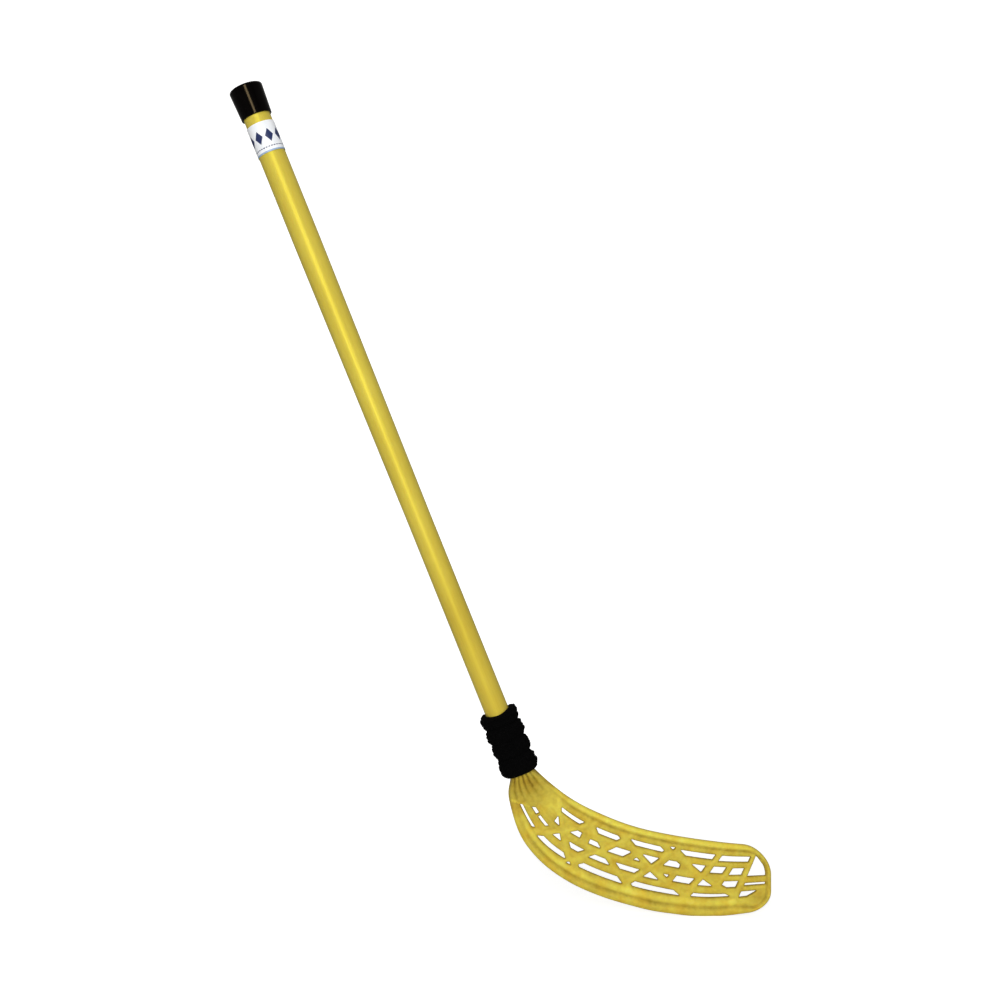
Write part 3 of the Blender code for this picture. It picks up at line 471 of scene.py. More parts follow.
def screw_zinc(tree):
    """Zinc-plated steel: bright grey, with fine marks of turning that break up its gloss."""
    where = add(tree, "TexCoord").outputs["Object"]
    marks = add(tree, "TexNoise", where, Scale=1 / TURNED_MARK, Detail=2.0)
    colour = add(tree, "ValToRGB", marks, stops=((0.3, "A4A7AC"), (0.7, "C2C5C9")))
    rough = add(tree, "MapRange", marks, To_Min=0.25, To_Max=0.42)
    return add(tree, "BsdfPrincipled", colour, Metallic=1.0, Roughness=rough)


def stage_paint(tree):
    """Pale stage paint, lifted to white for the camera; near the stick less, so that its shadow stays."""
    where = add(tree, "TexCoord").outputs["Object"]
    away = add(tree, "VectorMath", where, SHADOW_MIDDLE, operation="DISTANCE").outputs["Value"]
    lift = add(tree, "MapRange", away, From_Min=SHADOW_REACH[0], From_Max=SHADOW_REACH[1],
               To_Min=STAGE_LIFT_NEAR, To_Max=1.0)
    glow = add(tree, "Emission", (1, 1, 1, 1), lift)
    lifted = add(tree, "AddShader", glow, add(tree, "BsdfDiffuse", linear("C8C8C6")))
    rays = add(tree, "LightPath").outputs
    seen = add(tree, "Math", rays["Is Camera Ray"], rays["Is Transmission Ray"], operation="MAXIMUM")
    return add(tree, "MixShader", seen, add(tree, "BsdfDiffuse", linear("D2D2D0")), lifted)


def put_in_scene(name, data):
    """Makes an object of a mesh, light or camera."""
    made = bpy.data.objects.new(name, data)
    bpy.context.scene.collection.objects.link(made)
    return made


def smooth_object(name, bm, finish):
    """Makes a smoothly shaded object of a finished bmesh."""
    mesh = bpy.data.meshes.new(name)
    bm.to_mesh(mesh)
    bm.free()
    mesh.shade_smooth()
    mesh.materials.append(finish)
    return put_in_scene(name, mesh)


def new_piece(name, bm, finish, node):
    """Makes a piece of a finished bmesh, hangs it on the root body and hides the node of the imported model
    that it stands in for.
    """
    made = smooth_object(name, bm, finish)
    made.data.set_sharp_from_angle(angle=SHARP_ANGLE)
    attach(made, "root")
    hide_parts(node)
    return made


def turned(profile, segments):
    """Spins a profile of (radius, station) points about z; one that ends on its first point makes a ring."""
    bm = bmesh.new()
    verts = [bm.verts.new((radius, 0.0, station)) for radius, station in profile]
    edges = [bm.edges.new(pair) for pair in zip(verts, verts[1:])]
    bmesh.ops.spin(bm, geom=verts + edges, cent=(0, 0, 0), axis=(0, 0, 1), angle=2 * math.pi, steps=segments,
                   use_merge=True)
    bmesh.ops.remove_doubles(bm, verts=bm.verts, dist=MERGE_DISTANCE)
    bmesh.ops.recalc_face_normals(bm, faces=bm.faces)
    return bm


def arc(centre, radius, start, end, points):
    """Points along an arc, both ends included."""
    return [(centre[0] + radius * math.cos(start + (end - start) * i / points),
             centre[1] + radius * math.sin(start + (end - start) * i / points)) for i in range(points + 1)]


def limited(share):
    """A share kept between 0 and 1."""
    return min(max(share, 0.0), 1.0)


def smoothstep(share):
    """A share that starts and ends gently."""
    share = limited(share)
    return share * share * (3 - 2 * share)


def curve_between(a, b, c, d, t):
    """A place on the smooth curve from b to c that also heeds the points before and after them."""
    return 0.5 * (2 * b + (c - a) * t + (2 * a - 5 * b + 4 * c - d) * t * t
                  + (3 * b - a - 3 * c + d) * t ** 3)


def sides_of(outline):
    """Each side of a closed outline as its two ends."""
    return zip(outline, outline[1:] + outline[:1])


def with_neighbours(outline):
    """Each point of a closed outline between the one before it and the one after it."""
    return zip(outline[-1:] + outline[:-1], outline, outline[1:] + outline[:1])


def broken_up(line, step):
    """A line with more points, no further apart than the step; the last point is left out."""
    fine = []
    for a, b in zip(line, line[1:]):
        pieces = max(math.ceil((b - a).length / step), 1)
        fine += [a.lerp(b, k / pieces) for k in range(pieces)]
    return fine


def make_cap(finish):
    """The flared cap with a rounded end and a rounded lip at its mouth."""
    mouth = SHAFT_LENGTH - CAP_LENGTH
    bore = SHAFT_HAND_DIAMETER / 2 + FIT_GAP
    end, lip = CAP_END_DIAMETER / 2, CAP_MOUTH_DIAMETER / 2
    high, low = SHAFT_LENGTH - CAP_EDGE_RADIUS, mouth + CAP_LIP_RADIUS
    profile = [(0.0, SHAFT_LENGTH), (end / 2, SHAFT_LENGTH)]
    profile += arc((end - CAP_EDGE_RADIUS, high), CAP_EDGE_RADIUS, math.pi / 2, 0.0, CAP_EDGE_POINTS)
    profile += [(end + (lip - end) * t, high + (low - high) * t) for t in CAP_FLANK_SHARES]
    profile += arc((lip - CAP_LIP_RADIUS, low), CAP_LIP_RADIUS, 0.0, -math.pi / 2, CAP_LIP_POINTS)
    ceiling = SHAFT_LENGTH - CAP_END_THICKNESS
    profile += [(bore, mouth), (bore, ceiling), (0.0, ceiling)]
    bm = turned(profile, CAP_SEGMENTS)
    bmesh.ops.transform(bm, matrix=AXIS, verts=bm.verts)
    new_piece("end_cap_vinyl", bm, finish, "end_cap")


def lobe_radius(down):
    """The collar's outer radius at a distance below its top."""
    for width in COLLAR_LOBES:
        if down <= width:
            lobe = abs(math.sin(math.pi * down / width)) ** LOBE_FULLNESS
            return COLLAR_RADIUS - COLLAR_GROOVE * (1 - lobe)
        down -= width
    return COLLAR_RADIUS - COLLAR_GROOVE


def collar_profile():
    """The sleeve's section before its skin is torn: down the outside, then up the bore to the mouth."""
    bore = SHAFT_LOW_DIAMETER / 2 + FIT_GAP
    ring = bore + COLLAR_END_WALL
    profile = []
    for i in range(COLLAR_RINGS + 1):
        down = COLLAR_LENGTH * i / COLLAR_RINGS
        short = 1 - limited(min(down, COLLAR_LENGTH - down) / COLLAR_END_RADIUS)
        radius = ring + (lobe_radius(down) - ring) * math.sqrt(1 - short * short)
        profile.append((radius, COLLAR_LENGTH - down))
    profile += [(bore, 0.0), (bore, COLLAR_BORE_RING), (bore, COLLAR_LENGTH - COLLAR_DISH_DEPTH),
                (COLLAR_MOUTH_RADIUS, COLLAR_LENGTH - COLLAR_MOUTH_STEP)]
    return profile + profile[:1]


def make_collar(finish):
    """Foam sleeve: uneven lobes with a torn, grainy skin outside, a plain bore inside."""
    bm = turned(collar_profile(), COLLAR_SEGMENTS)
    for vert in bm.verts:
        x, y, station = vert.co
        radius = math.hypot(x, y)
        torn = limited(min(station, COLLAR_LENGTH - station) / FOAM_FADE) if radius > COLLAR_OUTSIDE else 0.0
        lump, small, grain = (height * noise.noise(vert.co * count)
                              for height, count in (FOAM_LUMPS, FOAM_SMALL_LUMPS, FOAM_GRAIN))
        grown = min(radius + (lump + small + grain) * torn, COLLAR_LIMIT)
        dip = COLLAR_DIP * (y / radius) ** 2 * smoothstep(1 - (COLLAR_LENGTH - station) / COLLAR_DIP_FADE)
        vert.co = (x * grown / radius, y * grown / radius, station - dip + (lump + small) * torn * FOAM_SLUMP)
    bmesh.ops.transform(bm, matrix=AXIS, verts=bm.verts)
    made = new_piece("foam_collar_skin", bm, finish, "foam_collar")


class Edge:
    """A smooth curve through a few points in X-Z, read at an even share of its length."""

    SAMPLES = 24

    def __init__(self, knots):
        ends = [2 * knots[0] - knots[1]] + list(knots) + [2 * knots[-1] - knots[-2]]
        self.points = [curve_between(*four, i / self.SAMPLES)
                       for four in zip(ends, ends[1:], ends[2:], ends[3:]) for i in range(self.SAMPLES)]
        self.points.append(knots[-1])
        self.lengths = [0.0]
        for a, b in zip(self.points, self.points[1:]):
            self.lengths.append(self.lengths[-1] + (b - a).length)

    def at(self, share):
        """The place at a share of the curve's length."""
        goal = limited(share) * self.lengths[-1]
        for i in range(1, len(self.lengths)):
            if self.lengths[i] >= goal:
                span = self.lengths[i] - self.lengths[i - 1]
                return self.points[i - 1].lerp(self.points[i], (goal - self.lengths[i - 1]) / span)
        return self.points[-1].copy()


def neck_ends():
    """The neck's two silhouette points at the collar: upper-edge side and sole side."""
    centre = Vector((NECK_X, NECK_Z))
    across = Vector((math.cos(SHAFT_LEAN), math.sin(SHAFT_LEAN))) * (SHAFT_LOW_DIAMETER / 2)
    return centre + across, centre - across


def edge_distance(x, y):
    """How far a point of the flat layout lies inside the blade's outline."""
    for radius, over in ((TOE_TOP_RADIUS, y), (TOE_SOLE_RADIUS, BLADE_DEPTH - y)):
        if x > BLADE_SWEEP - radius and over < radius:
            return radius - math.hypot(x - (BLADE_SWEEP - radius), over - radius)
    return min(y, BLADE_DEPTH - y, BLADE_SWEEP - x)


def lattice_sole(x):
    """The lattice's lower edge above the sole edge: the solid band under it widens towards the toe."""
    return LATTICE_SOLE_HEEL + (LATTICE_SOLE_TOE - LATTICE_SOLE_HEEL) * x / BLADE_SWEEP


def flute_tone(x, y):
    """How deep in a flute a place lies, from 0 to 1; the flutes fade out along the neck."""
    fade = 1 - smoothstep((x - FLUTE_FADE_START) / (FLUTE_FADE_END - FLUTE_FADE_START))
    fade *= smoothstep((x + SHOULDER_BOTTOM) / SHOULDER_BOTTOM)
    return fade * (0.5 + 0.5 * math.cos(2 * math.pi * FLUTES * y / BLADE_DEPTH)) ** 2


def neck_half(x, y):
    """Half thickness of the round, fluted neck."""
    across = 2 * y / BLADE_DEPTH - 1
    circle = math.sqrt(max(1 - across * across, 0.0)) * SHAFT_LOW_DIAMETER / 2
    return max(circle - FLUTE_DEPTH * flute_tone(x, y), NECK_EDGE_HALF)


def outline_points(inside):
    """The flat layout's outline, or a line that runs inside it, from the neck round the toe and back."""
    points = [(BLADE_START, inside)]
    for radius, cy, start in ((TOE_TOP_RADIUS, TOE_TOP_RADIUS, -math.pi / 2),
                              (TOE_SOLE_RADIUS, BLADE_DEPTH - TOE_SOLE_RADIUS, 0.0)):
        points += arc((BLADE_SWEEP - radius, cy), radius - inside, start, start + math.pi / 2, TOE_ARC_POINTS)
    return points + [(BLADE_START, BLADE_DEPTH - inside)]


def split(bm, faces, a, b, snap=MERGE_DISTANCE):
    """Cuts faces of the flat layout along the line through two of its points."""
    geom = set(faces)
    for face in faces:
        geom.update(face.edges)
        geom.update(face.verts)
    normal = Vector((b[1] - a[1], a[0] - b[0], 0.0)).normalized()
    bmesh.ops.bisect_plane(bm, geom=list(geom), dist=snap, plane_co=(a[0], a[1], 0.0), plane_no=normal)


def along(line, y):
    """Where a slanted line, given at the two rib depths, lies at depth y."""
    top, low = RIB_DEPTHS
    return line[0] + (line[1] - line[0]) * (y - top) / (low - top)


def after(line, centre):
    """Whether a place lies past a slanted line, towards the toe."""
    return centre.x > along(line, centre.y)


def cells(bm, chosen):
    """The layout's cells whose middle is chosen."""
    return [cell for cell in bm.faces if chosen(cell.calc_center_median())]


def split_rib(bm, line, chosen):
    """Cuts the chosen lattice cells along one slanted line."""
    split(bm, cells(bm, chosen), (line[0], RIB_DEPTHS[0]), (line[1], RIB_DEPTHS[1]), CROSSING_SNAP)


def in_lattice(c):
    """Whether a place lies in the field of ribs and windows."""
    return LATTICE_TOP < c.y < BLADE_DEPTH - lattice_sole(c.x) and edge_distance(c.x, c.y) > RIM_WIDTH


def row_of(c):
    """Number of the row a place lies in, from 0 at the upper edge."""
    return sum(c.y > root + (toe_end - root) * c.x / BLADE_SWEEP for root, toe_end in STRINGERS)


def lay_out_lattice(bm):
    """Cuts the field inside the rim along every rib's centre line."""
    for root, toe_end in ((LATTICE_TOP, LATTICE_TOP),
                          (BLADE_DEPTH - lattice_sole(0.0), BLADE_DEPTH - lattice_sole(BLADE_SWEEP))):
        field = cells(bm, lambda c: edge_distance(c.x, c.y) > RIM_WIDTH)
        split(bm, field, (0.0, root), (BLADE_SWEEP, toe_end))
    split_rib(bm, TOE_RIB, in_lattice)
    split_rib(bm, ROOT_LINE, lambda c: in_lattice(c) and not after(TOE_RIB, c))

    def body(c):
        """Between the root and the toe rib."""
        return in_lattice(c) and after(ROOT_LINE, c) and not after(TOE_RIB, c)

    def toe(c):
        """Past the toe rib."""
        return in_lattice(c) and after(TOE_RIB, c)

    for root, toe_end in STRINGERS:
        split(bm, cells(bm, body), (0.0, root), (BLADE_SWEEP, toe_end))
    for y in TOE_STRINGERS:
        split(bm, cells(bm, toe), (0.0, y), (BLADE_SWEEP, y))
    split_rib(bm, TOE_CORNER, lambda c: toe(c) and c.y < TOE_STRINGERS[0])
    split_rib(bm, TOE_HEEL, lambda c: toe(c) and c.y > TOE_STRINGERS[1])

    for line in BACK_RIBS + FORE_RIBS[:2]:
        split_rib(bm, line, body)
    split_rib(bm, FORE_RIBS[2], lambda c: body(c) and after(BACK_RIBS[1], c))
    split_rib(bm, FORE_RIBS[3], lambda c: body(c) and after(BACK_RIBS[2], c))
    split_rib(bm, STRUT_RIB, lambda c: body(c) and after(BACK_RIBS[3], c) and row_of(c) in (1, 2))
    for row, line in ROW_STRUTS:
        split_rib(bm, line, lambda c, row=row: body(c) and row_of(c) == row)


def inscribed(face):
    """Radius of the circle that would touch every side of a face."""
    return 2 * face.calc_area() / face.calc_perimeter()


def stays_shut(cell):
    """Small cells, the toe's two corners and the second row next to the root are solid."""
    c = cell.calc_center_median()
    if inscribed(cell) < SMALLEST_CELL:
        return all(math.hypot(c.x - x, c.y - y) > SMALLEST_CELL for x, y in PINHOLES)
    if after(TOE_RIB, c):
        return ((c.y < TOE_STRINGERS[0] and after(TOE_CORNER, c))
                or (c.y > TOE_STRINGERS[1] and after(TOE_HEEL, c)))
    near_root = c.x < ROOT_LINE[0] or (c.y < CLOSED_ABOVE and c.x < CLOSED_UP_TO)
    closed = math.hypot(c.x - CLOSED_CELL[0], c.y - CLOSED_CELL[1]) < MIDDLE_MATCH
    return row_of(c) == 1 and (near_root or closed)


def middle_of(points):
    """Middle of the box round some points."""
    xs = [p.x for p in points]
    ys = [p.y for p in points]
    return Vector(((min(xs) + max(xs)) / 2, (min(ys) + max(ys)) / 2, 0.0))


def rib_half(a, b, cell_middle):
    """Half the width of the rib, stringer or rim's land that runs from a to b beside a cell."""
    middle = (a + b) / 2
    if edge_distance(middle.x, middle.y) < RIM_WIDTH + SHORT_SIDE and middle.x > TOE_RIB[0]:
        return TOE_LAND / 2
    for line, width in NARROW_RIBS:
        if max(abs(p.x - along(line, p.y)) for p in (a, b)) < CROSSING_SNAP:
            return width / 2
    level = abs(b.y - a.y) < abs(b.x - a.x) * LEVEL_SLOPE
    for x, y, above, below, heelward, toeward in UNEVEN_WINDOWS:
        if math.hypot(cell_middle.x - x, cell_middle.y - y) < MIDDLE_MATCH:
            if level:
                return above if middle.y < cell_middle.y else below
            return heelward if middle.x < cell_middle.x else toeward
    width = STRINGER_WIDTH if level else RIB_WIDTH
    near_root = 1 - smoothstep((middle.x - WIDENING_START) / (WIDENING_END - WIDENING_START))
    widening = ROOT_WIDENING[row_of(middle) > 1] if level else RIB_WIDENING
    return width / 2 * (1 + (widening - 1) * near_root)


def draw_in(points, limit):
    """Moves every side of a convex outline inwards; sides too short to matter are left out."""
    middle = middle_of(points)
    sides = []
    for a, b in sides_of(points):
        if (b - a).length > SHORT_SIDE:
            normal = Vector((a.y - b.y, b.x - a.x, 0.0)).normalized()
            sides.append((a, normal, min(rib_half(a, b, middle), limit)))
    for base, normal, amount in sides:
        kept = []
        for a, b in sides_of(points):
            over_a = (a - base).dot(normal) - amount
            over_b = (b - base).dot(normal) - amount
            if over_a >= 0:
                kept.append(a)
            if over_a * over_b < 0:
                kept.append(a.lerp(b, over_a / (over_a - over_b)))
        points = kept
        if len(points) < 3:
            return []
    return [a for a, b in sides_of(points) if (b - a).length > SHORT_SIDE / 2]


def depth_share(x, y):
    """Share of the way from upper edge to sole, with the rows bowed near the heel."""
    across = y / BLADE_DEPTH
    near = max(1 - ((x - BOW_PLACE) / BOW_REACH) ** 2, 0.0)
    return across + ROW_BOW / BLADE_DEPTH * near ** 2 * 4 * across * (1 - across)


def short_of_toe(x):
    """1 along the blade, falling to 0 round the toe's end."""
    return 1 - smoothstep((x - TOE_BEAD_START) / TOE_BEAD_BLEND)


def bead_width(x, y):
    """Width of the bead along the outline: narrower round the toe's end."""
    widest = TOP_BEAD if y < BLADE_DEPTH / 2 else SOLE_BEAD
    return TOE_BEAD + (widest - TOE_BEAD) * short_of_toe(x)


def swell(table, x):
    """Reads one of the two swell tables with a smooth curve through its values."""
    place = limited(x / BLADE_SWEEP) / SWELL_STEP
    k = min(int(place), len(table) - 2)
    four = (table[min(max(i, 0), len(table) - 1)] for i in range(k - 1, k + 3))
    return max(curve_between(*four, place - k), 0.0)


def swell_at(x, y):
    """How far a place moves towards the sole, or if negative towards the upper edge, to widen the rim."""
    if y < BLADE_DEPTH / 2:
        return -swell(TOP_SWELL, x) * max(1 - y / LATTICE_TOP, 0.0)
    return swell(SOLE_SWELL, x) * max(1 - (BLADE_DEPTH - y) / lattice_sole(x), 0.0)


def rim_distance(x, y):
    """Distance from the rim as it stands after the swell."""
    inside = edge_distance(x, y)
    if y < BLADE_DEPTH / 2:
        return inside + swell(TOP_SWELL, x) * min(inside / LATTICE_TOP, 1.0)
    return inside + swell(SOLE_SWELL, x) * min(inside / lattice_sole(x), 1.0)


def rim_profile(x, y):
    """Height over the plate and painted light and shade along the rim: a painted highlight on the bead and
    the sole's inner ridge, painted shade in the groove.
    """
    low = y > BLADE_DEPTH / 2
    full = smoothstep((x - BEAD_START) / BEAD_GROWTH)
    crest = (RIM_HALF - PLATE_HALF) * (BEAD_AT_NECK + (1 - BEAD_AT_NECK) * full)
    groove = GROOVE_DEPTH * full
    bead_highlight = (SOLE_BEAD_HIGHLIGHT if low else TOP_BEAD_HIGHLIGHT) * full * short_of_toe(x)
    inside = rim_distance(x, y)
    share = inside / bead_width(x, y)
    if share < 0.5:
        bulge = math.sqrt(max(1 - (1 - 2 * share) ** 2, 0.0))
        return (PLATE_HALF + crest - EDGE_HALF) * bulge + EDGE_HALF - PLATE_HALF, bead_highlight * bulge
    if share < 1:
        lift = 0.5 + 0.5 * math.cos(2 * math.pi * (share - 0.5))
        return (crest + groove) * lift - groove, bead_highlight * lift - GROOVE_SHADE * full * (1 - lift)
    fade = 1 - smoothstep((share - 1) / GROOVE_BLEND)
    rise, tone = -groove * fade, -GROOVE_SHADE * full * fade
    if low and x < RIDGE_END:
        off = (inside - SOLE_BEAD) / RIDGE_REACH - 1
        hump = max(1 - off * off, 0.0) * smoothstep((RIDGE_END - x) / RIDGE_FADE) * full
        rise += (RIDGE_HALF - PLATE_HALF) * hump
        tone += SOLE_RIDGE_HIGHLIGHT * hump
    return rise, tone


def crossing(line, other):
    """Depth at which two slanted lines meet."""
    gap = line[0] - other[0]
    slope = ((other[1] - other[0]) - (line[1] - line[0])) / (RIB_DEPTHS[1] - RIB_DEPTHS[0])
    return RIB_DEPTHS[0] + gap / slope


def ridge_lines():
    """Every rib's crest as its start and end, then half width, rise and painted highlight."""
    low = BLADE_DEPTH - CREST_SOLE
    top = LATTICE_TOP - CREST_LEAD
    slanted = [(line, top, low, SLANTED_CREST) for line in BACK_RIBS]
    slanted += [(FORE_RIBS[0], LATTICE_TOP, low, SLANTED_CREST),
                (FORE_RIBS[1], top, low, SLANTED_CREST),
                (FORE_RIBS[2], top, crossing(FORE_RIBS[2], BACK_RIBS[1]), SLANTED_CREST),
                (FORE_RIBS[3], CREST_TOP, crossing(FORE_RIBS[3], BACK_RIBS[2]), SLANTED_CREST),
                (STRUT_RIB, STRINGERS[0][1], crossing(STRUT_RIB, BACK_RIBS[3]), STRUT_CREST),
                (TOE_RIB, LATTICE_TOP, low, SLANTED_CREST)]
    made = [((along(line, start), start), (along(line, end), end), crest)
            for line, start, end, crest in slanted]
    made.append((*ROOT_CREST_ENDS, ROOT_CREST))
    made += [((along(ROOT_LINE, root), root), (along(TOE_RIB, toe_end), toe_end), STRINGER_CREST)
             for root, toe_end in STRINGERS]
    made += [((along(TOE_RIB, y), y), (BLADE_SWEEP - TOE_BEAD, y), TOE_CREST) for y in TOE_STRINGERS]
    return [(Vector(start), Vector(end), *crest) for start, end, crest in made]


def ridge_rise(ridges, place):
    """Height of the ribs' rounded crests over the plate at a place, and their painted highlight."""
    best, painted_highlight = 0.0, 0.0
    for start, end, half, rise, tone in ridges:
        run = end - start
        nearest = start + run * limited((place - start).dot(run) / run.length_squared)
        off = (place - nearest).length / half
        if off < 1:
            best = max(best, rise * (1 - off * off) ** CREST_FULLNESS)
            painted_highlight = max(painted_highlight, tone * (1 - off * off))
    return best, painted_highlight


def rounded(points, radius):
    """A convex outline with its corners rounded and its long sides broken up."""
    made = []
    for before, here, later in with_neighbours(points):
        back, forth = before - here, later - here
        bend = back.angle(forth, math.pi)
        reach = min(radius / max(math.tan(bend / 2), SHARPEST_CORNER),
                    back.length * CORNER_SHARE, forth.length * CORNER_SHARE)
        a, b = here + back.normalized() * reach, here + forth.normalized() * reach
        made += [a * (1 - t) ** 2 + here * 2 * t * (1 - t) + b * t * t
                 for t in (k / CORNER_POINTS for k in range(CORNER_POINTS + 1))]
    return broken_up(made + made[:1], EDGE_STEP)


def window_outlines():
    """The lattice's windows as outlines in the flat layout."""
    bm = bmesh.new()
    bm.faces.new([bm.verts.new((x, y, 0.0)) for x, y in outline_points(RIM_WIDTH)])
    lay_out_lattice(bm)
    found = []
    for cell in bm.faces:
        middle = cell.calc_center_median()
        if not (in_lattice(middle) and after(ROOT_LINE, middle)) or stays_shut(cell):
            continue
        points = draw_in([v.co.copy() for v in cell.verts], inscribed(cell) - SMALLEST_WINDOW)
        if len(points) > 2:
            found.append([p.xy for p in rounded(points, WINDOW_CORNER_RADIUS)])
    bm.free()
    return found


def edge_distances(outlines):
    """A function that tells how far a place lies from the nearest window's edge."""
    samples = []
    for outline in outlines:
        for a, b in sides_of(outline):
            outward = Vector((b.y - a.y, a.x - b.x)).normalized()
            pieces = max(math.ceil((b - a).length / TREE_STEP), 1)
            samples += [(a.lerp(b, (i + 0.5) / pieces), outward) for i in range(pieces)]
    tree = kdtree.KDTree(len(samples))
    for index, (place, _) in enumerate(samples):
        tree.insert(place.to_3d(), index)
    tree.balance()

    def distance(place):
        """Distance to the nearest window's edge, negative inside the window."""
        nearest, index, gap = tree.find(place.to_3d())
        return gap if (place - nearest.xy).dot(samples[index][1]) > 0 else -gap

    return distance


def scattered_points(outlines, distance):
    """Points for the blade's skin: along the rim, round the windows and in a grid over the rest."""
    lines = []
    for i in range(1, RIM_STEPS):
        inside = (i / RIM_STEPS) ** RIM_CROWDING * SOLE_BEAD
        lines += broken_up([Vector(p) for p in outline_points(inside)], RIM_STEP)
    for gap in WALL_LINES:
        for outline in outlines:
            for before, here, later in with_neighbours(outline):
                run = later - before
                lines.append(here + Vector((run.y, -run.x)).normalized() * gap)
    kept = [p for p in lines if edge_distance(*p) > SLIVER and distance(p) > WALL_CLEAR]
    rim_reach = SOLE_BEAD + GRID_STEP / 2
    wall_reach = WALL_LINES[-1] + GRID_STEP / 3
    rows = int(BLADE_DEPTH / (GRID_STEP * ROW_PITCH))
    for row in range(rows + 1):
        y = BLADE_DEPTH * row / rows
        x = BLADE_START + GRID_STEP * (0.5 if row % 2 else 0.25)
        while x < BLADE_SWEEP:
            if edge_distance(x, y) > rim_reach and distance(Vector((x, y))) > wall_reach:
                kept.append(Vector((x, y)))
            x += GRID_STEP
    return kept


def skin_triangles(outlines, distance):
    """Triangulates the flat layout between its outline and the windows."""
    rim = [Vector(p) for p in outline_points(0.0)]
    places, limits = [], []
    for loop in [broken_up(rim + rim[:1], RIM_STEP)] + outlines:
        first = len(places)
        places += loop
        limits += [(first + k, first + (k + 1) % len(loop)) for k in range(len(loop))]
    places += scattered_points(outlines, distance)
    verts, _, faces = geometry.delaunay_2d_cdt(places, limits, [], 0, TRIANGLE_SNAP)[:3]
    kept = []
    for face in faces:
        middle = sum((verts[k] for k in face), Vector((0.0, 0.0))) / 3
        if distance(middle) > 0 and edge_distance(*middle) > 0:
            kept.append(face)
    return verts, kept


def wall_share(gap):
    """How much of the plate's thickness stands at a distance from a window's edge."""
    return math.sin(math.pi / 2 * limited(gap / WALL_LINES[-1])) ** WALL_FULLNESS


def sweep_blade(bm, relief, distance):
    """Gives the flat layout its thickness and bends it to the blade's outline."""
    upper_start, sole_start = neck_ends()
    upper = Edge([upper_start] + [Vector(p) for p in TOP_EDGE])
    sole = Edge([sole_start] + [Vector(p) for p in SOLE_EDGE])
    shaft = Vector((-math.sin(SHAFT_LEAN), math.cos(SHAFT_LEAN)))
    ridges = ridge_lines()
    shape = {}
    for vert in bm.verts:
        x, y = vert.co.x, vert.co.y
        share = smoothstep(x / NECK_FADE)
        rim, rim_painted_shading = rim_profile(x, y)
        rib, rib_painted_highlight = ridge_rise(ridges, vert.co.xy)
        half = (1 - share) * neck_half(x, y) + share * PLATE_HALF + min(share * rim + rib, MOST_RISE)
        wall = wall_share(distance(vert.co.xy))
        thin = min(WINDOW_EDGE_HALF, half)
        # Painted light and shade: highlights on beads, ridges and crests, shade over the neck, in the flutes
        # and down the window walls.
        tone = PLATE_TONE + share * rim_painted_shading + rib_painted_highlight
        tone -= (1 - share) * NECK_DARKENING + FLUTE_SHADE * flute_tone(x, y)
        tone *= WALL_SHADE + (1 - WALL_SHADE) * wall
        shape[vert] = (thin + (half - thin) * wall, limited(tone))
    front = bm.verts[:]
    made = bmesh.ops.extrude_face_region(bm, geom=bm.faces[:], use_keep_orig=True)
    back = {v for v in made["geom"] if isinstance(v, bmesh.types.BMVert)}
    table = {tuple(v.co): shape[v] for v in front}
    for vert in front + list(back):
        x, y = vert.co.x, vert.co.y
        half, vert[relief] = table[tuple(vert.co)]
        share = x / BLADE_SWEEP
        top, low = upper.at(share), sole.at(share)
        place = top.lerp(low, depth_share(x, y)) + (low - top).normalized() * swell_at(x, y)
        if x < 0:
            middle = (upper.at(0) + sole.at(0)) / 2
            tuck = 1 - x / BLADE_START * PLUG_TAPER
            place = middle + (place - middle) * tuck - shaft * x
            half *= tuck
        vert.co = (place.x, half if vert in back else -half, max(place.y, SOLE_LEVEL))


def make_blade(finish):
    """The lattice blade with its fluted neck."""
    outlines = window_outlines()
    distance = edge_distances(outlines)
    verts, faces = skin_triangles(outlines, distance)
    bm = bmesh.new()
    relief = bm.verts.layers.float.new("relief")
    made = [bm.verts.new((p.x, p.y, 0.0)) for p in verts]
    for face in faces:
        bm.faces.new([made[k] for k in face])
    bmesh.ops.delete(bm, geom=[v for v in bm.verts if not v.link_faces], context="VERTS")
    sweep_blade(bm, relief, distance)
    bmesh.ops.recalc_face_normals(bm, faces=bm.faces)
    new_piece("lattice_blade", bm, finish, "blade")


def make_blade_root(finish):
    """The round shoulder under the tube and the spigot inside it."""
    shoulder = SHAFT_LOW_DIAMETER / 2
    plug = shoulder - SHAFT_WALL - FIT_GAP
    tip = SHOULDER_TOP + SPIGOT_LENGTH
    profile = [(0.0, tip), (plug - SPIGOT_CHAMFER, tip), (plug, tip - SPIGOT_CHAMFER), (plug, SHOULDER_TOP),
               (shoulder, SHOULDER_TOP), (shoulder, SHOULDER_BOTTOM), (0.0, SHOULDER_BOTTOM)]
    bm = turned(profile, ROOT_SEGMENTS)
    bmesh.ops.transform(bm, matrix=AXIS, verts=bm.verts)
    new_piece("blade_root", bm, finish, "blade")


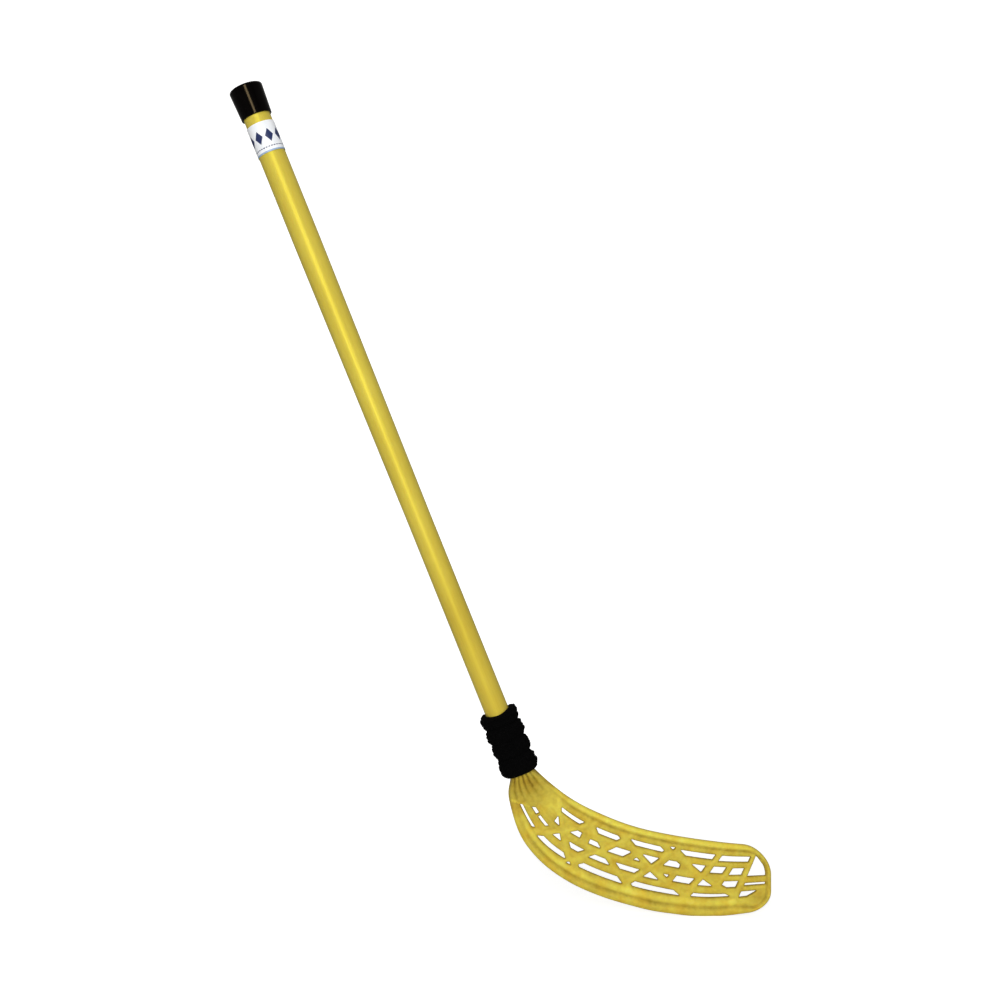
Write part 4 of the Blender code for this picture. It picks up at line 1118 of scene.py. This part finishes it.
def make_stage():
    """A pale floor that bends up into a backdrop."""
    bend = arc((STAGE_BEND_START, STAGE_BEND), STAGE_BEND, -math.pi / 2, 0.0, STAGE_BEND_POINTS)
    line = [(-STAGE_SIDE, 0.0)] + bend + [(STAGE_BEND_START + STAGE_BEND, STAGE_HEIGHT)]
    bm = bmesh.new()
    verts = [bm.verts.new((-STAGE_SIDE, y, z)) for y, z in line]
    edges = [bm.edges.new(pair) for pair in zip(verts, verts[1:])]
    grown = bmesh.ops.extrude_edge_only(bm, edges=edges)["geom"]
    bmesh.ops.translate(bm, verts=[v for v in grown if isinstance(v, bmesh.types.BMVert)],
                        vec=(2 * STAGE_SIDE, 0.0, 0.0))
    smooth_object("stage", bm, new_material("pale_stage", stage_paint))


def make_light(name, location, target, size, power):
    """A soft, rectangular light that points at its target."""
    light = bpy.data.lights.new(name, "AREA")
    light.shape = "RECTANGLE"
    light.size, light.size_y = size
    light.energy = power
    made = put_in_scene(name, light)
    made.location = location
    made.rotation_euler = (Vector(target) - Vector(location)).to_track_quat("-Z", "Y").to_euler()


def make_camera():
    """Level camera whose picture plane is parallel to the stick."""
    camera = bpy.data.cameras.new("camera")
    camera.sensor_width = CAMERA_SENSOR
    camera.lens = CAMERA_LENS
    made = put_in_scene("camera", camera)
    made.location = CAMERA_PLACE
    made.rotation_euler = (math.pi / 2, 0.0, 0.0)
    bpy.context.scene.camera = made


def make_world():
    """Faint, even light from all round."""
    world = bpy.data.worlds.new("world")
    world.use_nodes = True
    background = world.node_tree.nodes["Background"].inputs
    background["Color"].default_value = linear("F2F2F2")
    background["Strength"].default_value = WORLD_STRENGTH
    bpy.context.scene.world = world


def dress(node, finish):
    """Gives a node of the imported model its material."""
    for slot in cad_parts[node].material_slots:
        slot.material = finish


make_camera()
make_world()
make_stage()
for light_name, light_settings in LIGHTS.items():
    make_light(light_name, *light_settings)

clear_yellow = new_material("clear_yellow_polyethylene", blade_plastic)
dress("shaft_tube", new_material("satin_yellow_polyethylene", tube_plastic))
dress("label_band", new_material("printed_white_film", label_film))
zinc = new_material("zinc_plated_steel", screw_zinc)
dress("blade_screw_front", zinc)
dress("blade_screw_back", zinc)
make_cap(new_material("glossy_black_vinyl", cap_vinyl))
make_collar(new_material("open_cell_black_foam", collar_foam))
make_blade(clear_yellow)
make_blade_root(clear_yellow)

bpy.context.scene.view_settings.view_transform = "Standard"
